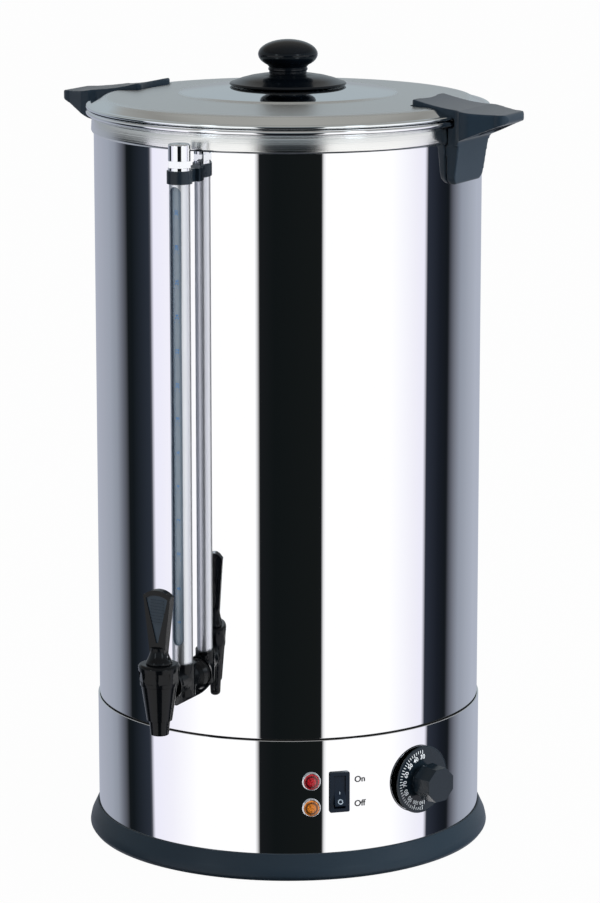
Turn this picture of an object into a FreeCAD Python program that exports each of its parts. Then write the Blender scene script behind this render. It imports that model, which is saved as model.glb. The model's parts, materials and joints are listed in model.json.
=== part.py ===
import FreeCAD, Part
import math
import os
import Sketcher

# Hot water urn. The Z axis is the axis of the tank, z = 0 is the surface that the feet stand on, and the tap
# faces -Y. Angles round the urn are counted from the tap towards +X. All sizes are in millimetres or degrees.

SIZES = {
    # tank
    "tank_radius": 155.0,
    "tank_wall": 0.8,
    "skirt_overlap": 10.0,
    "floor_rise": 13.0,
    "floor_thickness": 1.0,
    "floor_flange": 14.0,
    "floor_bend": 6.0,
    "weld_gap": 0.05,
    "rim_height": 593.8,
    "rim_reach": 6.2,
    "rim_roll": 2.0,
    "collar_height": 14.0,
    "collar_thickness": 2.0,
    "collar_round": 1.5,
    # control skirt and base
    "skirt_step": 1.3,
    "skirt_wall": 0.8,
    "skirt_top": 114.0,
    "skirt_lip": 1.0,
    "base_reach": 8.9,
    "base_top": 21.7,
    "base_widest": 6.0,
    "base_lip": 1.3,
    "base_floor": 4.0,
    "base_ledge": 2.0,
    "base_ledge_width": 3.3,
    "base_flange": 17.0,
    "base_clear": 1.0,
    "slide_fit": 0.25,
    "foot_radius": 9.0,
    "foot_inset": 7.0,
    "foot_recess": 1.5,
    "cover_thickness": 0.8,
    "cover_screw_inset": 9.0,
    "screw_shank": 2.0,
    "screw_head": 3.9,
    "screw_head_height": 2.2,
    "screw_clear": 0.3,
    "vent_width": 4.0,
    "vent_inner": 70.0,
    "vent_outer": 110.0,
    "vent_count": 12,
    # lid
    "lid_thickness": 0.9,
    "lid_seat_gap": 0.3,
    "lid_lip_roll": 1.2,
    "lid_lip_rise": 1.4,
    "lid_rise": 13.8,
    "ring_b_inset": 64.5,
    "ring_b_drop": 0.9,
    "ring_a_inset": 8.0,
    "ring_a_drop": 5.3,
    "ring_step": 0.7,
    "lid_skirt_depth": 7.0,
    "lid_skirt_gap": 0.9,
    "notch_gap": 1.4,
    # lid knob
    "shield_radius": 46.7,
    "shield_gap": 4.4,
    "shield_edge": 1.8,
    "shield_rise": 13.8,
    "shield_hub": 9.0,
    "knob_neck": 14.6,
    "knob_head": 23.9,
    "knob_head_rise": 15.4,
    "knob_neck_rise": 3.4,
    "knob_rise": 26.6,
    "knob_top_flat": 9.0,
    "knob_screw": 2.5,
    "knob_screw_depth": 12.0,
    # handles
    "handle_length": 45.0,
    "tongue_length": 33.0,
    "tongue_half": 27.0,
    "handle_half": 33.0,
    "handle_tip_half": 20.0,
    "handle_rise_inner": 15.2,
    "handle_rise_mid": 9.2,
    "handle_rise_tip": 5.7,
    "handle_tip_thick": 7.8,
    "tongue_gap": 7.4,
    "hook_gap": 2.2,
    "hook_length": 17.0,
    "grip_drop": 14.8,
    "bracket_length": 50.0,
    "bracket_thick": 9.3,
    "bracket_foot_thick": 4.6,
    "bracket_half": 27.4,
    "bracket_foot_half": 20.4,
    "shoulder_drop": 18.8,
    "bracket_fit": 0.3,
    "mouth_gap": 1.1,
    "handle_screw_drop": 33.8,
    "handle_screw_spread": 15.0,
    "handle_screw_depth": 4.0,
    # gauge
    "gauge_offset": 19.8,
    "guard_radius": 8.1,
    "guard_wall": 0.9,
    "guard_drop": 38.3,
    "slot_width": 9.6,
    "slot_rise": 29.1,
    "slot_drop": 42.6,
    "glass_radius": 5.8,
    "glass_wall": 1.1,
    "glass_drop": 27.8,
    "glass_fit": 0.15,
    "clamp_drop": 40.8,
    "clamp_height": 10.0,
    "clamp_radius": 9.8,
    "clamp_arm": 10.0,
    "clamp_boss": 8.0,
    "nut_flange": 8.7,
    "nut_flange_height": 2.4,
    "nut_flats": 16.8,
    "nut_height": 5.2,
    "cap_radius": 8.6,
    "cap_height": 12.8,
    "cap_round": 1.2,
    # tee between tank, gauge and tap
    "tee_rise": 49.5,
    "tee_radius": 9.6,
    "tee_bore": 5.0,
    "tee_flange": 13.0,
    "tee_flange_thick": 4.0,
    "cup_radius": 9.9,
    "cup_rise": 14.1,
    "cup_drop": 12.0,
    "cup_depth": 3.5,
    "spigot_radius": 8.5,
    "spigot_length": 17.0,
    "web_thick": 10.0,
    "web_drop": 16.0,
    "seal_thick": 2.4,
    "seal_rise": 5.8,
    "back_nut_flats": 26.0,
    "back_nut_thick": 6.0,
    # tap
    "tap_offset": 56.3,
    "tap_neck": 12.2,
    "tap_neck_rise": 13.5,
    "tap_shoulder_rise": 4.5,
    "tap_shoulder_radius": 14.0,
    "tap_cone_drop": 23.2,
    "tap_cone_radius": 9.9,
    "nozzle_radius": 8.2,
    "nozzle_tip_radius": 7.2,
    "nozzle_drop": 35.1,
    "nozzle_bore": 5.5,
    "chamber_radius": 10.2,
    "seat_below_arm": 7.0,
    "seat_drop": 3.0,
    "inlet_radius": 4.6,
    "inlet_wall": 1.2,
    "bonnet_radius": 16.2,
    "bonnet_foot_radius": 14.7,
    "bonnet_rise": 21.7,
    "bonnet_plate": 5.0,
    "bonnet_round": 2.5,
    "bonnet_panels": 8,
    "bonnet_panel_width": 9.0,
    "bonnet_panel_height": 8.6,
    "bonnet_panel_floor": 14.5,
    "stem_radius": 2.8,
    "stem_fit": 0.3,
    "stem_tang": 5.0,
    "cup_seal_radius": 8.4,
    "cup_seal_height": 5.0,
    "pin_radius": 1.5,
    "pin_fit": 0.06,
    "pin_press": 0.01,
    "pin_rise": 5.3,
    "lever_gap": 0.4,
    "bell_radius": 10.3,
    "bell_neck": 6.4,
    "bell_rise": 12.8,
    "bell_slot": 6.4,
    "bell_slot_half": 7.2,
    "paddle_half": 11.8,
    "paddle_rise": 53.8,
    "paddle_thick": 6.5,
    "paddle_recess": 0.9,
    "paddle_border": 2.2,
    "rib_count": 8,
    "rib_pitch": 2.5,
    "rib_height": 0.9,
    "rib_proud": 0.5,
    "rib_half": 6.0,
    # panel on the skirt
    "lamp_azimuth": 34.7,
    "red_lamp_height": 81.0,
    "amber_lamp_height": 59.5,
    "lamp_bezel": 7.3,
    "lamp_bezel_proud": 2.0,
    "lamp_lens": 5.6,
    "lamp_lens_proud": 1.0,
    "lamp_barrel": 5.0,
    "lamp_depth": 16.0,
    "switch_azimuth": 42.9,
    "panel_height": 71.3,
    "switch_half_width": 8.1,
    "switch_half_height": 16.3,
    "switch_frame": 2.0,
    "switch_barrel_half_width": 6.5,
    "switch_barrel_half_height": 14.4,
    "switch_depth": 18.0,
    "switch_corner": 1.2,
    "rocker_half_width": 4.5,
    "rocker_gap": 0.2,
    "rocker_arm": 12.0,
    "rocker_lift": 5.0,
    "rocker_tilt": 10.0,
    "rocker_hub": 3.6,
    "rocker_room": 13.3,
    "rocker_set": 3.7,
    "rocker_nub": 1.5,
    "rocker_nub_length": 0.9,
    "dial_azimuth": 69.8,
    "dial_height": 71.6,
    "dial_radius": 27.2,
    "dial_gap": 2.2,
    "dial_thick": 1.6,
    "dial_bevel": 0.5,
    "grip_neck": 5.5,
    "grip_neck_radius": 10.4,
    "grip_flats": 27.8,
    "grip_front_flats": 26.5,
    "grip_length": 21.5,
    "spindle_radius": 3.0,
    "spindle_fit": 0.08,
    "bush_radius": 5.0,
    "thermostat_half": 17.0,
    "thermostat_depth": 24.0,
    "thermostat_gap": 1.0,
    "thermostat_screw_spread": 11.0,
    # heater
    "heater_radius": 95.0,
    "heater_thick": 5.0,
    "element_circle": 72.0,
    "element_radius": 4.0,
    "element_tail": 22.0,
    "stud_radius": 3.0,
    "stud_length": 20.0,
    "heater_nut_flats": 10.0,
    "heater_nut_height": 5.0,
    "cutout_radius": 8.0,
    "cutout_height": 10.0,
    "cutout_circle": 36.0,
    "bulb_radius": 3.0,
    "bulb_length": 60.0,
    "capillary_radius": 1.0,
    # mains inlet
    "gland_height": 45.0,
    "gland_bore": 3.75,
    "gland_barrel": 7.5,
    "gland_flats": 19.0,
    "gland_flange": 5.0,
    "gland_dome": 9.0,
    "gland_dome_radius": 8.2,
    "gland_inner": 10.0,
    "gland_nut_thick": 4.0,
    "block_length": 38.0,
    "block_width": 14.0,
    "block_height": 16.0,
    "block_reach": 105.0,
}

# Sizes that follow from others, each a size above and a named step from it.
LINKED = {
    "tank_foot": lambda: s.skirt_top - s.skirt_overlap,
    "floor_height": lambda: s.skirt_top + s.floor_rise,
    "skirt_radius": lambda: s.tank_radius + s.skirt_step,
    "base_radius": lambda: s.tank_radius + s.base_reach,
    "base_bore": lambda: s.tank_radius - s.base_flange,
    "foot_circle": lambda: s.tank_radius - s.foot_inset,
    "cover_screw_circle": lambda: s.tank_radius - s.cover_screw_inset,
    "lid_crown_height": lambda: s.rim_height + s.lid_rise,
    "ring_b_radius": lambda: s.tank_radius - s.ring_b_inset,
    "ring_b_height": lambda: s.lid_crown_height - s.ring_b_drop,
    "ring_a_radius": lambda: s.tank_radius - s.ring_a_inset,
    "ring_a_height": lambda: s.lid_crown_height - s.ring_a_drop,
    "shield_edge_height": lambda: s.lid_crown_height + s.shield_gap,
    "shield_top": lambda: s.lid_crown_height + s.shield_rise,
    "knob_head_height": lambda: s.shield_top + s.knob_head_rise,
    "knob_neck_height": lambda: s.shield_top + s.knob_neck_rise,
    "knob_top": lambda: s.shield_top + s.knob_rise,
    "handle_reach": lambda: s.tank_radius + s.handle_length,
    "tongue_reach": lambda: s.tank_radius - s.tongue_length,
    "handle_top_inner": lambda: s.rim_height + s.handle_rise_inner,
    "handle_top_mid": lambda: s.rim_height + s.handle_rise_mid,
    "handle_top_tip": lambda: s.rim_height + s.handle_rise_tip,
    "tongue_under": lambda: s.rim_height + s.tongue_gap,
    "hook_under": lambda: s.rim_height + s.hook_gap,
    "hook_inner": lambda: s.tank_radius - s.hook_length,
    "grip_root": lambda: s.rim_height - s.grip_drop,
    "bracket_foot": lambda: s.rim_height - s.bracket_length,
    "bracket_shoulder": lambda: s.rim_height - s.shoulder_drop,
    "handle_screw_height": lambda: s.rim_height - s.handle_screw_drop,
    "gauge_reach": lambda: s.tank_radius + s.gauge_offset,
    "guard_top": lambda: s.rim_height - s.guard_drop,
    "tee_height": lambda: s.skirt_top + s.tee_rise,
    "slot_bottom": lambda: s.tee_height + s.slot_rise,
    "slot_top": lambda: s.rim_height - s.slot_drop,
    "glass_top": lambda: s.rim_height - s.glass_drop,
    "clamp_bottom": lambda: s.rim_height - s.clamp_drop,
    "cup_top": lambda: s.tee_height + s.cup_rise,
    "cup_bottom": lambda: s.tee_height - s.cup_drop,
    "spigot_inner": lambda: s.tank_radius - s.spigot_length,
    "web_foot": lambda: s.tee_height - s.web_drop,
    "tap_reach": lambda: s.tank_radius + s.tap_offset,
    "tap_neck_top": lambda: s.tee_height + s.tap_neck_rise,
    "tap_shoulder": lambda: s.tee_height + s.tap_shoulder_rise,
    "tap_cone_foot": lambda: s.tee_height - s.tap_cone_drop,
    "nozzle_foot": lambda: s.tee_height - s.nozzle_drop,
    "seat_height": lambda: s.tee_height - s.seat_below_arm,
    "bonnet_top": lambda: s.tee_height + s.bonnet_rise,
    "pin_height": lambda: s.bonnet_top + s.pin_rise,
    "bell_top": lambda: s.bonnet_top + s.bell_rise,
    "paddle_shoulder": lambda: s.bonnet_top + s.paddle_rise,
    "rocker_pivot": lambda: s.skirt_radius - s.rocker_set,
}

doc = FreeCAD.newDocument("urn")
sheet = doc.addObject("Spreadsheet::Sheet", "sizes")


class Size:
    """A value together with the expression that ties the document to the sheet."""

    def __init__(self, value, text):
        self.value = value
        self.text = text

    def __add__(self, other):
        other = as_size(other)
        return Size(self.value + other.value, f"({self.text} + {other.text})")

    def __radd__(self, other):
        return as_size(other) + self

    def __sub__(self, other):
        other = as_size(other)
        return Size(self.value - other.value, f"({self.text} - {other.text})")

    def __rsub__(self, other):
        return as_size(other) - self

    def __mul__(self, other):
        other = as_size(other)
        return Size(self.value * other.value, f"({self.text} * {other.text})")

    def __rmul__(self, other):
        return as_size(other) * self

    def __truediv__(self, other):
        other = as_size(other)
        return Size(self.value / other.value, f"({self.text} / {other.text})")

    def __neg__(self):
        return as_size(0) - self


def as_size(number):
    """Plain numbers take part in sums of sizes."""
    return number if isinstance(number, Size) else Size(float(number), repr(number))


def sine(angle):
    return Size(math.sin(math.radians(angle.value)), f"sin({angle.text})")


def cosine(angle):
    return Size(math.cos(math.radians(angle.value)), f"cos({angle.text})")


def root(size):
    return Size(math.sqrt(size.value), f"sqrt({size.text})")


def azimuth_of(across, ahead):
    """The angle of a point across and ahead, from the direction ahead."""
    value = math.degrees(math.atan2(across.value, ahead.value))
    return Size(value, f"(atan2({across.text}; {ahead.text}) / 1 deg)")


class Sheet:
    """The sheet's sizes by name."""

    def __getattr__(self, name):
        if name in LINKED:
            return Size(LINKED[name]().value, f"sizes.{name}")
        return Size(float(SIZES[name]), f"sizes.{name}")


s = Sheet()


def fill_sheet():
    """Each size is a row: its name and its number or formula, with the name as the alias."""
    rows = {name: str(value) for name, value in SIZES.items()}
    for name, rule in LINKED.items():
        rows[name] = "=" + rule().text.replace("sizes.", "")
    for row, (name, content) in enumerate(rows.items(), start=1):
        sheet.set(f"A{row}", name)
        sheet.setAlias(f"B{row}", name)
        sheet.set(f"B{row}", content)
    doc.recompute()


def bind(item, prop, size):
    """Give a property its size and the expression that keeps it."""
    size = as_size(size)
    setattr(item, prop, size.value)
    item.setExpression(prop, size.text)


def new_body(name, pieces_apart=False):
    body = doc.addObject("PartDesign::Body", name)
    body.Label = name
    body.AllowCompound = pieces_apart
    return body


def origin_part(body, role):
    return [part for part in body.Origin.OriginFeatures if part.Role == role][0]


def new_sketch(body, role, offset=0, azimuth=0):
    """A sketch on an origin plane of its body, moved out along its normal. An XZ sketch turns to the azimuth."""
    sketch = body.newObject("Sketcher::SketchObject", body.Name + "_sketch")
    sketch.AttachmentSupport = [(origin_part(body, role), "")]
    sketch.MapMode = "FlatFace"
    offset = as_size(offset)
    azimuth = as_size(azimuth)
    sketch.AttachmentOffset = FreeCAD.Placement(FreeCAD.Vector(), FreeCAD.Rotation(FreeCAD.Vector(0, 1, 0), 0))
    sketch.setExpression("AttachmentOffset.Base.x", (offset * sine(azimuth)).text)
    sketch.setExpression("AttachmentOffset.Base.z", (offset * cosine(azimuth)).text)
    if azimuth.value:
        turn = f"rotation(vector(0; 1; 0); {azimuth.text})"
        spot = f"vector({(offset * sine(azimuth)).text}; 0; {(offset * cosine(azimuth)).text})"
        sketch.setExpression("AttachmentOffset.Base.x", None)
        sketch.setExpression("AttachmentOffset.Base.z", None)
        sketch.setExpression("AttachmentOffset", f"placement({spot}; {turn})")
    return sketch


def hold(sketch, kind, geometry, end, size):
    """Fix one coordinate of a point at a size, or on the axis where it is zero."""
    if not isinstance(size, Size) and size == 0:
        if kind == "DistanceX":
            sketch.addConstraint(Sketcher.Constraint("PointOnObject", geometry, end, -2))
        else:
            sketch.addConstraint(Sketcher.Constraint("PointOnObject", geometry, end, -1))
        return
    size = as_size(size)
    number = sketch.addConstraint(Sketcher.Constraint(kind, -1, 1, geometry, end, size.value))
    sketch.setExpression(f"Constraints[{number}]", size.text)


def arc_between(start, end, radius):
    """A short arc. A positive radius has its centre to the left on the way from start to end."""
    chord = end - start
    half = chord.Length / 2
    height = math.sqrt(max(radius * radius - half * half, 0))
    left = FreeCAD.Vector(-chord.y, chord.x, 0).normalize()
    side = 1 if radius > 0 else -1
    centre = (start + end) * 0.5 + left * height * side
    first, last = (start, end) if radius > 0 else (end, start)
    begin = math.atan2(first.y - centre.y, first.x - centre.x)
    finish = math.atan2(last.y - centre.y, last.x - centre.x)
    circle = Part.Circle(centre, FreeCAD.Vector(0, 0, 1), abs(radius))
    return Part.ArcOfCircle(circle, begin, finish)


def draw(sketch, corners, closed=True):
    """An outline or a path. A corner is (across, up), or (across, up, radius) where an arc leads to it."""
    points = [FreeCAD.Vector(as_size(c[0]).value, as_size(c[1]).value, 0) for c in corners]
    ends = []
    for index, corner in enumerate(corners):
        if index == 0 and not closed:
            continue
        start = points[index - 1]
        end = points[index]
        if len(corner) == 3:
            radius = as_size(corner[2])
            number = sketch.addGeometry(arc_between(start, end, radius.value), False)
            size = radius if radius.value > 0 else -radius
            tie = sketch.addConstraint(Sketcher.Constraint("Radius", number, size.value))
            sketch.setExpression(f"Constraints[{tie}]", size.text)
            ends.append((number, 1, 2) if radius.value > 0 else (number, 2, 1))
        else:
            number = sketch.addGeometry(Part.LineSegment(start, end), False)
            ends.append((number, 1, 2))
    reached = corners if closed else corners[1:]
    for index, corner in enumerate(reached):
        number, _, last = ends[index]
        hold(sketch, "DistanceX", number, last, corner[0])
        hold(sketch, "DistanceY", number, last, corner[1])
        if closed or index + 1 < len(ends):
            following, first, _ = ends[(index + 1) % len(ends)]
            sketch.addConstraint(Sketcher.Constraint("Coincident", number, last, following, first))
    if not closed:
        number, first, _ = ends[0]
        hold(sketch, "DistanceX", number, first, corners[0][0])
        hold(sketch, "DistanceY", number, first, corners[0][1])
    return sketch


def draw_circle(sketch, across, up, radius):
    radius = as_size(radius)
    centre = FreeCAD.Vector(as_size(across).value, as_size(up).value, 0)
    number = sketch.addGeometry(Part.Circle(centre, FreeCAD.Vector(0, 0, 1), radius.value), False)
    tie = sketch.addConstraint(Sketcher.Constraint("Radius", number, radius.value))
    sketch.setExpression(f"Constraints[{tie}]", radius.text)
    hold(sketch, "DistanceX", number, 3, across)
    hold(sketch, "DistanceY", number, 3, up)
    return sketch


def rectangle(left, right, bottom, top):
    return [(left, bottom), (right, bottom), (right, top), (left, top)]


def polygon(flats, corners, turn=0.0):
    """A regular outline about the sketch's origin, by its width across flats."""
    radius = flats / (2 * math.cos(math.pi / corners))
    angles = [math.radians(turn) + 2 * math.pi * n / corners for n in range(corners)]
    return [(radius * round(math.cos(a), 12), radius * round(math.sin(a), 12)) for a in angles]


def slot(centre, half_length, half_width):
    """A slot that runs up and down about a centre, with round ends."""
    across, up = centre
    return [
        (across + half_width, up + half_length),
        (across, up + half_length + half_width, half_width),
        (across - half_width, up + half_length, half_width),
        (across - half_width, up - half_length),
        (across, up - half_length - half_width, half_width),
        (across + half_width, up - half_length, half_width),
    ]


def feature(body, kind, sketch, **settings):
    item = body.newObject("PartDesign::" + kind, body.Name + "_" + kind.lower())
    item.Profile = (sketch, [""])
    for prop, value in settings.items():
        if isinstance(value, Size):
            bind(item, prop, value)
        else:
            setattr(item, prop, value)
    return item


def spin(body, corners, role="XZ_Plane", axis="V_Axis", kind="Revolution"):
    """A turned solid, or a turned cut, about an axis of its sketch."""
    sketch = draw(new_sketch(body, role), corners)
    item = feature(body, kind, sketch, Angle=360.0)
    item.ReferenceAxis = (sketch, [axis])
    return item


def spin_outwards(body, corners, kind="Revolution"):
    """A turned solid whose axis points out at the tap's azimuth. A corner is (distance out, radius)."""
    return spin(body, [(-as_size(c[0]), *c[1:]) for c in corners], "YZ_Plane", "H_Axis", kind)


def pad(body, sketch, length, both_ways=False):
    return feature(body, "Pad", sketch, Length=as_size(length), Midplane=both_ways)


def pocket(body, sketch, length, both_ways=False):
    return feature(body, "Pocket", sketch, Length=as_size(length), Midplane=both_ways)


def set_count(pattern, count):
    """The number of copies in a pattern, kept by its size."""
    count = as_size(count)
    pattern.Occurrences = int(count.value)
    pattern.setExpression("Occurrences", count.text)


def around(body, item, count):
    """Copies of a feature round the Z axis."""
    pattern = body.newObject("PartDesign::PolarPattern", body.Name + "_round")
    pattern.Originals = [item]
    pattern.Axis = (origin_part(body, "Z_Axis"), [""])
    pattern.Angle = 360.0
    set_count(pattern, count)
    body.Tip = pattern
    return pattern


def place(body, azimuth=0, out=0, up=0, tilt=0):
    """Put a body at an azimuth, a distance out and a height. Tilt turns it about the tangent there."""
    azimuth, out, up, tilt = (as_size(value) for value in (azimuth, out, up, tilt))
    turn = f"placement(vector(0; 0; 0); rotation(vector(0; 0; 1); {azimuth.text}))"
    shift = f"placement(vector(0; {(-out).text}; {up.text}); rotation(vector(1; 0; 0); {tilt.text}))"
    body.setExpression("Placement", f"{turn} * {shift}")
    return body


def build_tank():
    shell = new_body("tank_shell")
    inner = s.tank_radius - s.tank_wall
    roll_out = s.tank_radius + s.rim_reach - s.rim_roll
    spin(shell, [
        (inner, s.tank_foot),
        (s.tank_radius, s.tank_foot),
        (s.tank_radius, s.rim_height - s.rim_roll * 2 - 2.0),
        (s.tank_radius + 2.0, s.rim_height - s.rim_roll * 2, -3.0),
        (roll_out, s.rim_height - s.rim_roll * 2),
        (roll_out + s.rim_roll, s.rim_height - s.rim_roll, s.rim_roll),
        (roll_out, s.rim_height, s.rim_roll),
        (inner + 3.0, s.rim_height),
        (inner, s.rim_height - 3.0, 3.0),
    ])
    # the tee's spigot and the gauge clamp's screw pass through the wall at the front
    wall_hole(shell, 0, s.tee_height, s.spigot_radius + s.stem_fit)
    wall_hole(shell, 0, s.clamp_bottom + s.clamp_height / 2, s.screw_shank + s.screw_clear)
    for azimuth in (90, -90):
        hole = new_sketch(shell, "XZ_Plane", s.tank_radius + 5, azimuth)
        for side in (-1, 1):
            draw_circle(hole, s.handle_screw_spread * side, s.handle_screw_height, s.screw_shank + s.screw_clear)
        pocket(shell, hole, 12)

    floor = new_body("tank_floor")
    edge = inner - s.weld_gap
    top = s.floor_height
    under = s.floor_height - s.floor_thickness
    bend = s.floor_bend
    spin(floor, [
        (0, under),
        (edge - bend, under),
        (edge - s.floor_thickness, top - bend, -(bend - s.floor_thickness)),
        (edge - s.floor_thickness, top - s.floor_flange),
        (edge, top - s.floor_flange),
        (edge, top - bend),
        (edge - bend, top, bend),
        (0, top),
    ])
    stud = draw_circle(new_sketch(floor, "XY_Plane", under - s.stud_length), 0, 0, s.stud_radius)
    pad(floor, stud, s.stud_length)

    collar = new_body("rim_collar")
    low = s.rim_height - s.rim_roll * 2 - s.collar_height - 0.3
    outer = s.tank_radius + s.collar_thickness
    spin(collar, [
        (s.tank_radius + s.weld_gap, low),
        (outer - s.collar_round, low),
        (outer, low + s.collar_round, s.collar_round),
        (outer, low + s.collar_height - 2.0),
        (outer - 1.2, low + s.collar_height - 0.7),
        (s.tank_radius + 0.6, low + s.collar_height - 2.2),
        (s.tank_radius + s.weld_gap, low + s.collar_height - 2.8),
    ])


def wall_hole(body, azimuth, height, radius):
    """A round hole from outside through the wall of the tank or the skirt."""
    hole = new_sketch(body, "XZ_Plane", s.skirt_radius + 5, azimuth)
    draw_circle(hole, 0, height, radius)
    pocket(body, hole, 14)


def build_skirt():
    skirt = new_body("control_skirt")
    inner = s.skirt_radius - s.skirt_wall
    foot = s.base_clear + s.base_floor + s.base_ledge
    spin(skirt, [
        (inner, foot),
        (s.skirt_radius, foot),
        (s.skirt_radius, s.skirt_top - s.skirt_lip),
        (s.skirt_radius - s.skirt_lip, s.skirt_top, s.skirt_lip),
        (s.tank_radius + s.weld_gap, s.skirt_top),
        (s.tank_radius + s.weld_gap, s.skirt_top - s.skirt_wall),
        (inner, s.skirt_top - s.skirt_wall - 0.5),
    ])
    wall_hole(skirt, s.lamp_azimuth, s.red_lamp_height, s.lamp_barrel + s.screw_clear)
    wall_hole(skirt, s.lamp_azimuth, s.amber_lamp_height, s.lamp_barrel + s.screw_clear)
    wall_hole(skirt, s.dial_azimuth, s.dial_height, s.bush_radius + s.screw_clear)
    for side in (-1, 1):
        wall_hole(skirt, s.dial_azimuth, s.dial_height + s.thermostat_screw_spread * side,
                  s.screw_shank + s.screw_clear)
    wall_hole(skirt, 180, s.gland_height, s.gland_barrel + s.screw_clear)
    window = new_sketch(skirt, "XZ_Plane", s.skirt_radius + 5, s.switch_azimuth)
    half_width = s.switch_barrel_half_width + s.screw_clear
    half_height = s.switch_barrel_half_height + s.screw_clear
    draw(window, rectangle(-half_width, half_width, s.panel_height - half_height, s.panel_height + half_height))
    pocket(skirt, window, 14)


def build_base():
    ring = new_body("base_ring")
    low = s.base_clear
    floor = low + s.base_floor
    ledge = floor + s.base_ledge
    pocket_radius = s.skirt_radius + s.slide_fit
    spin(ring, [
        (s.base_bore, low),
        (s.base_radius - 3.6, low),
        (s.base_radius, s.base_widest, 5.6),
        (pocket_radius + s.base_lip, s.base_top, 26.0),
        (pocket_radius, s.base_top),
        (pocket_radius, ledge),
        (pocket_radius - s.base_ledge_width, ledge),
        (pocket_radius - s.base_ledge_width, floor),
        (s.base_bore, floor),
    ])
    recess = draw_circle(new_sketch(ring, "XY_Plane", low + s.foot_recess), s.foot_circle, 0,
                         s.foot_radius + s.slide_fit)
    around(ring, pocket(ring, recess, s.foot_recess + 1), 4)
    sink = draw_circle(new_sketch(ring, "XY_Plane", low + s.screw_head_height + 0.4),
                       s.cover_screw_circle * math.sqrt(0.5), s.cover_screw_circle * math.sqrt(0.5),
                       s.screw_head + s.screw_clear)
    around(ring, pocket(ring, sink, s.screw_head_height + 2), 4)
    through = draw_circle(new_sketch(ring, "XY_Plane", floor + 1),
                          s.cover_screw_circle * math.sqrt(0.5), s.cover_screw_circle * math.sqrt(0.5),
                          s.screw_shank + s.screw_clear)
    around(ring, pocket(ring, through, s.base_floor + 3), 4)

    feet = new_body("rubber_feet", pieces_apart=True)
    foot = draw_circle(new_sketch(feet, "XY_Plane"), s.foot_circle, 0, s.foot_radius)
    around(feet, pad(feet, foot, low + s.foot_recess), 4)

    cover = new_body("bottom_cover")
    plate = draw_circle(new_sketch(cover, "XY_Plane", floor), 0, 0,
                        pocket_radius - s.base_ledge_width - s.slide_fit)
    pad(cover, plate, s.cover_thickness)
    vent = new_sketch(cover, "XY_Plane", floor + s.cover_thickness + 1)
    draw(vent, slot((0, (s.vent_inner + s.vent_outer) / 2), (s.vent_outer - s.vent_inner) / 2, s.vent_width / 2))
    around(cover, pocket(cover, vent, s.cover_thickness + 3), s.vent_count)
    hole = draw_circle(new_sketch(cover, "XY_Plane", floor + s.cover_thickness + 1),
                       s.cover_screw_circle * math.sqrt(0.5), s.cover_screw_circle * math.sqrt(0.5),
                       s.screw_shank + s.screw_clear)
    around(cover, pocket(cover, hole, s.cover_thickness + 3), 4)

    screws = new_body("cover_screws", pieces_apart=True)
    across = s.cover_screw_circle * math.sqrt(0.5)
    head = draw_circle(new_sketch(screws, "XY_Plane", low + 0.4), across, across, s.screw_head)
    shank = draw_circle(new_sketch(screws, "XY_Plane", low + 0.4 + s.screw_head_height), across, across,
                        s.screw_shank)
    heads = pad(screws, head, s.screw_head_height)
    shanks = pad(screws, shank, s.base_floor - s.screw_head_height + s.cover_thickness + 3)
    pattern = around(screws, heads, 4)
    pattern.Originals = [heads, shanks]


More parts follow.
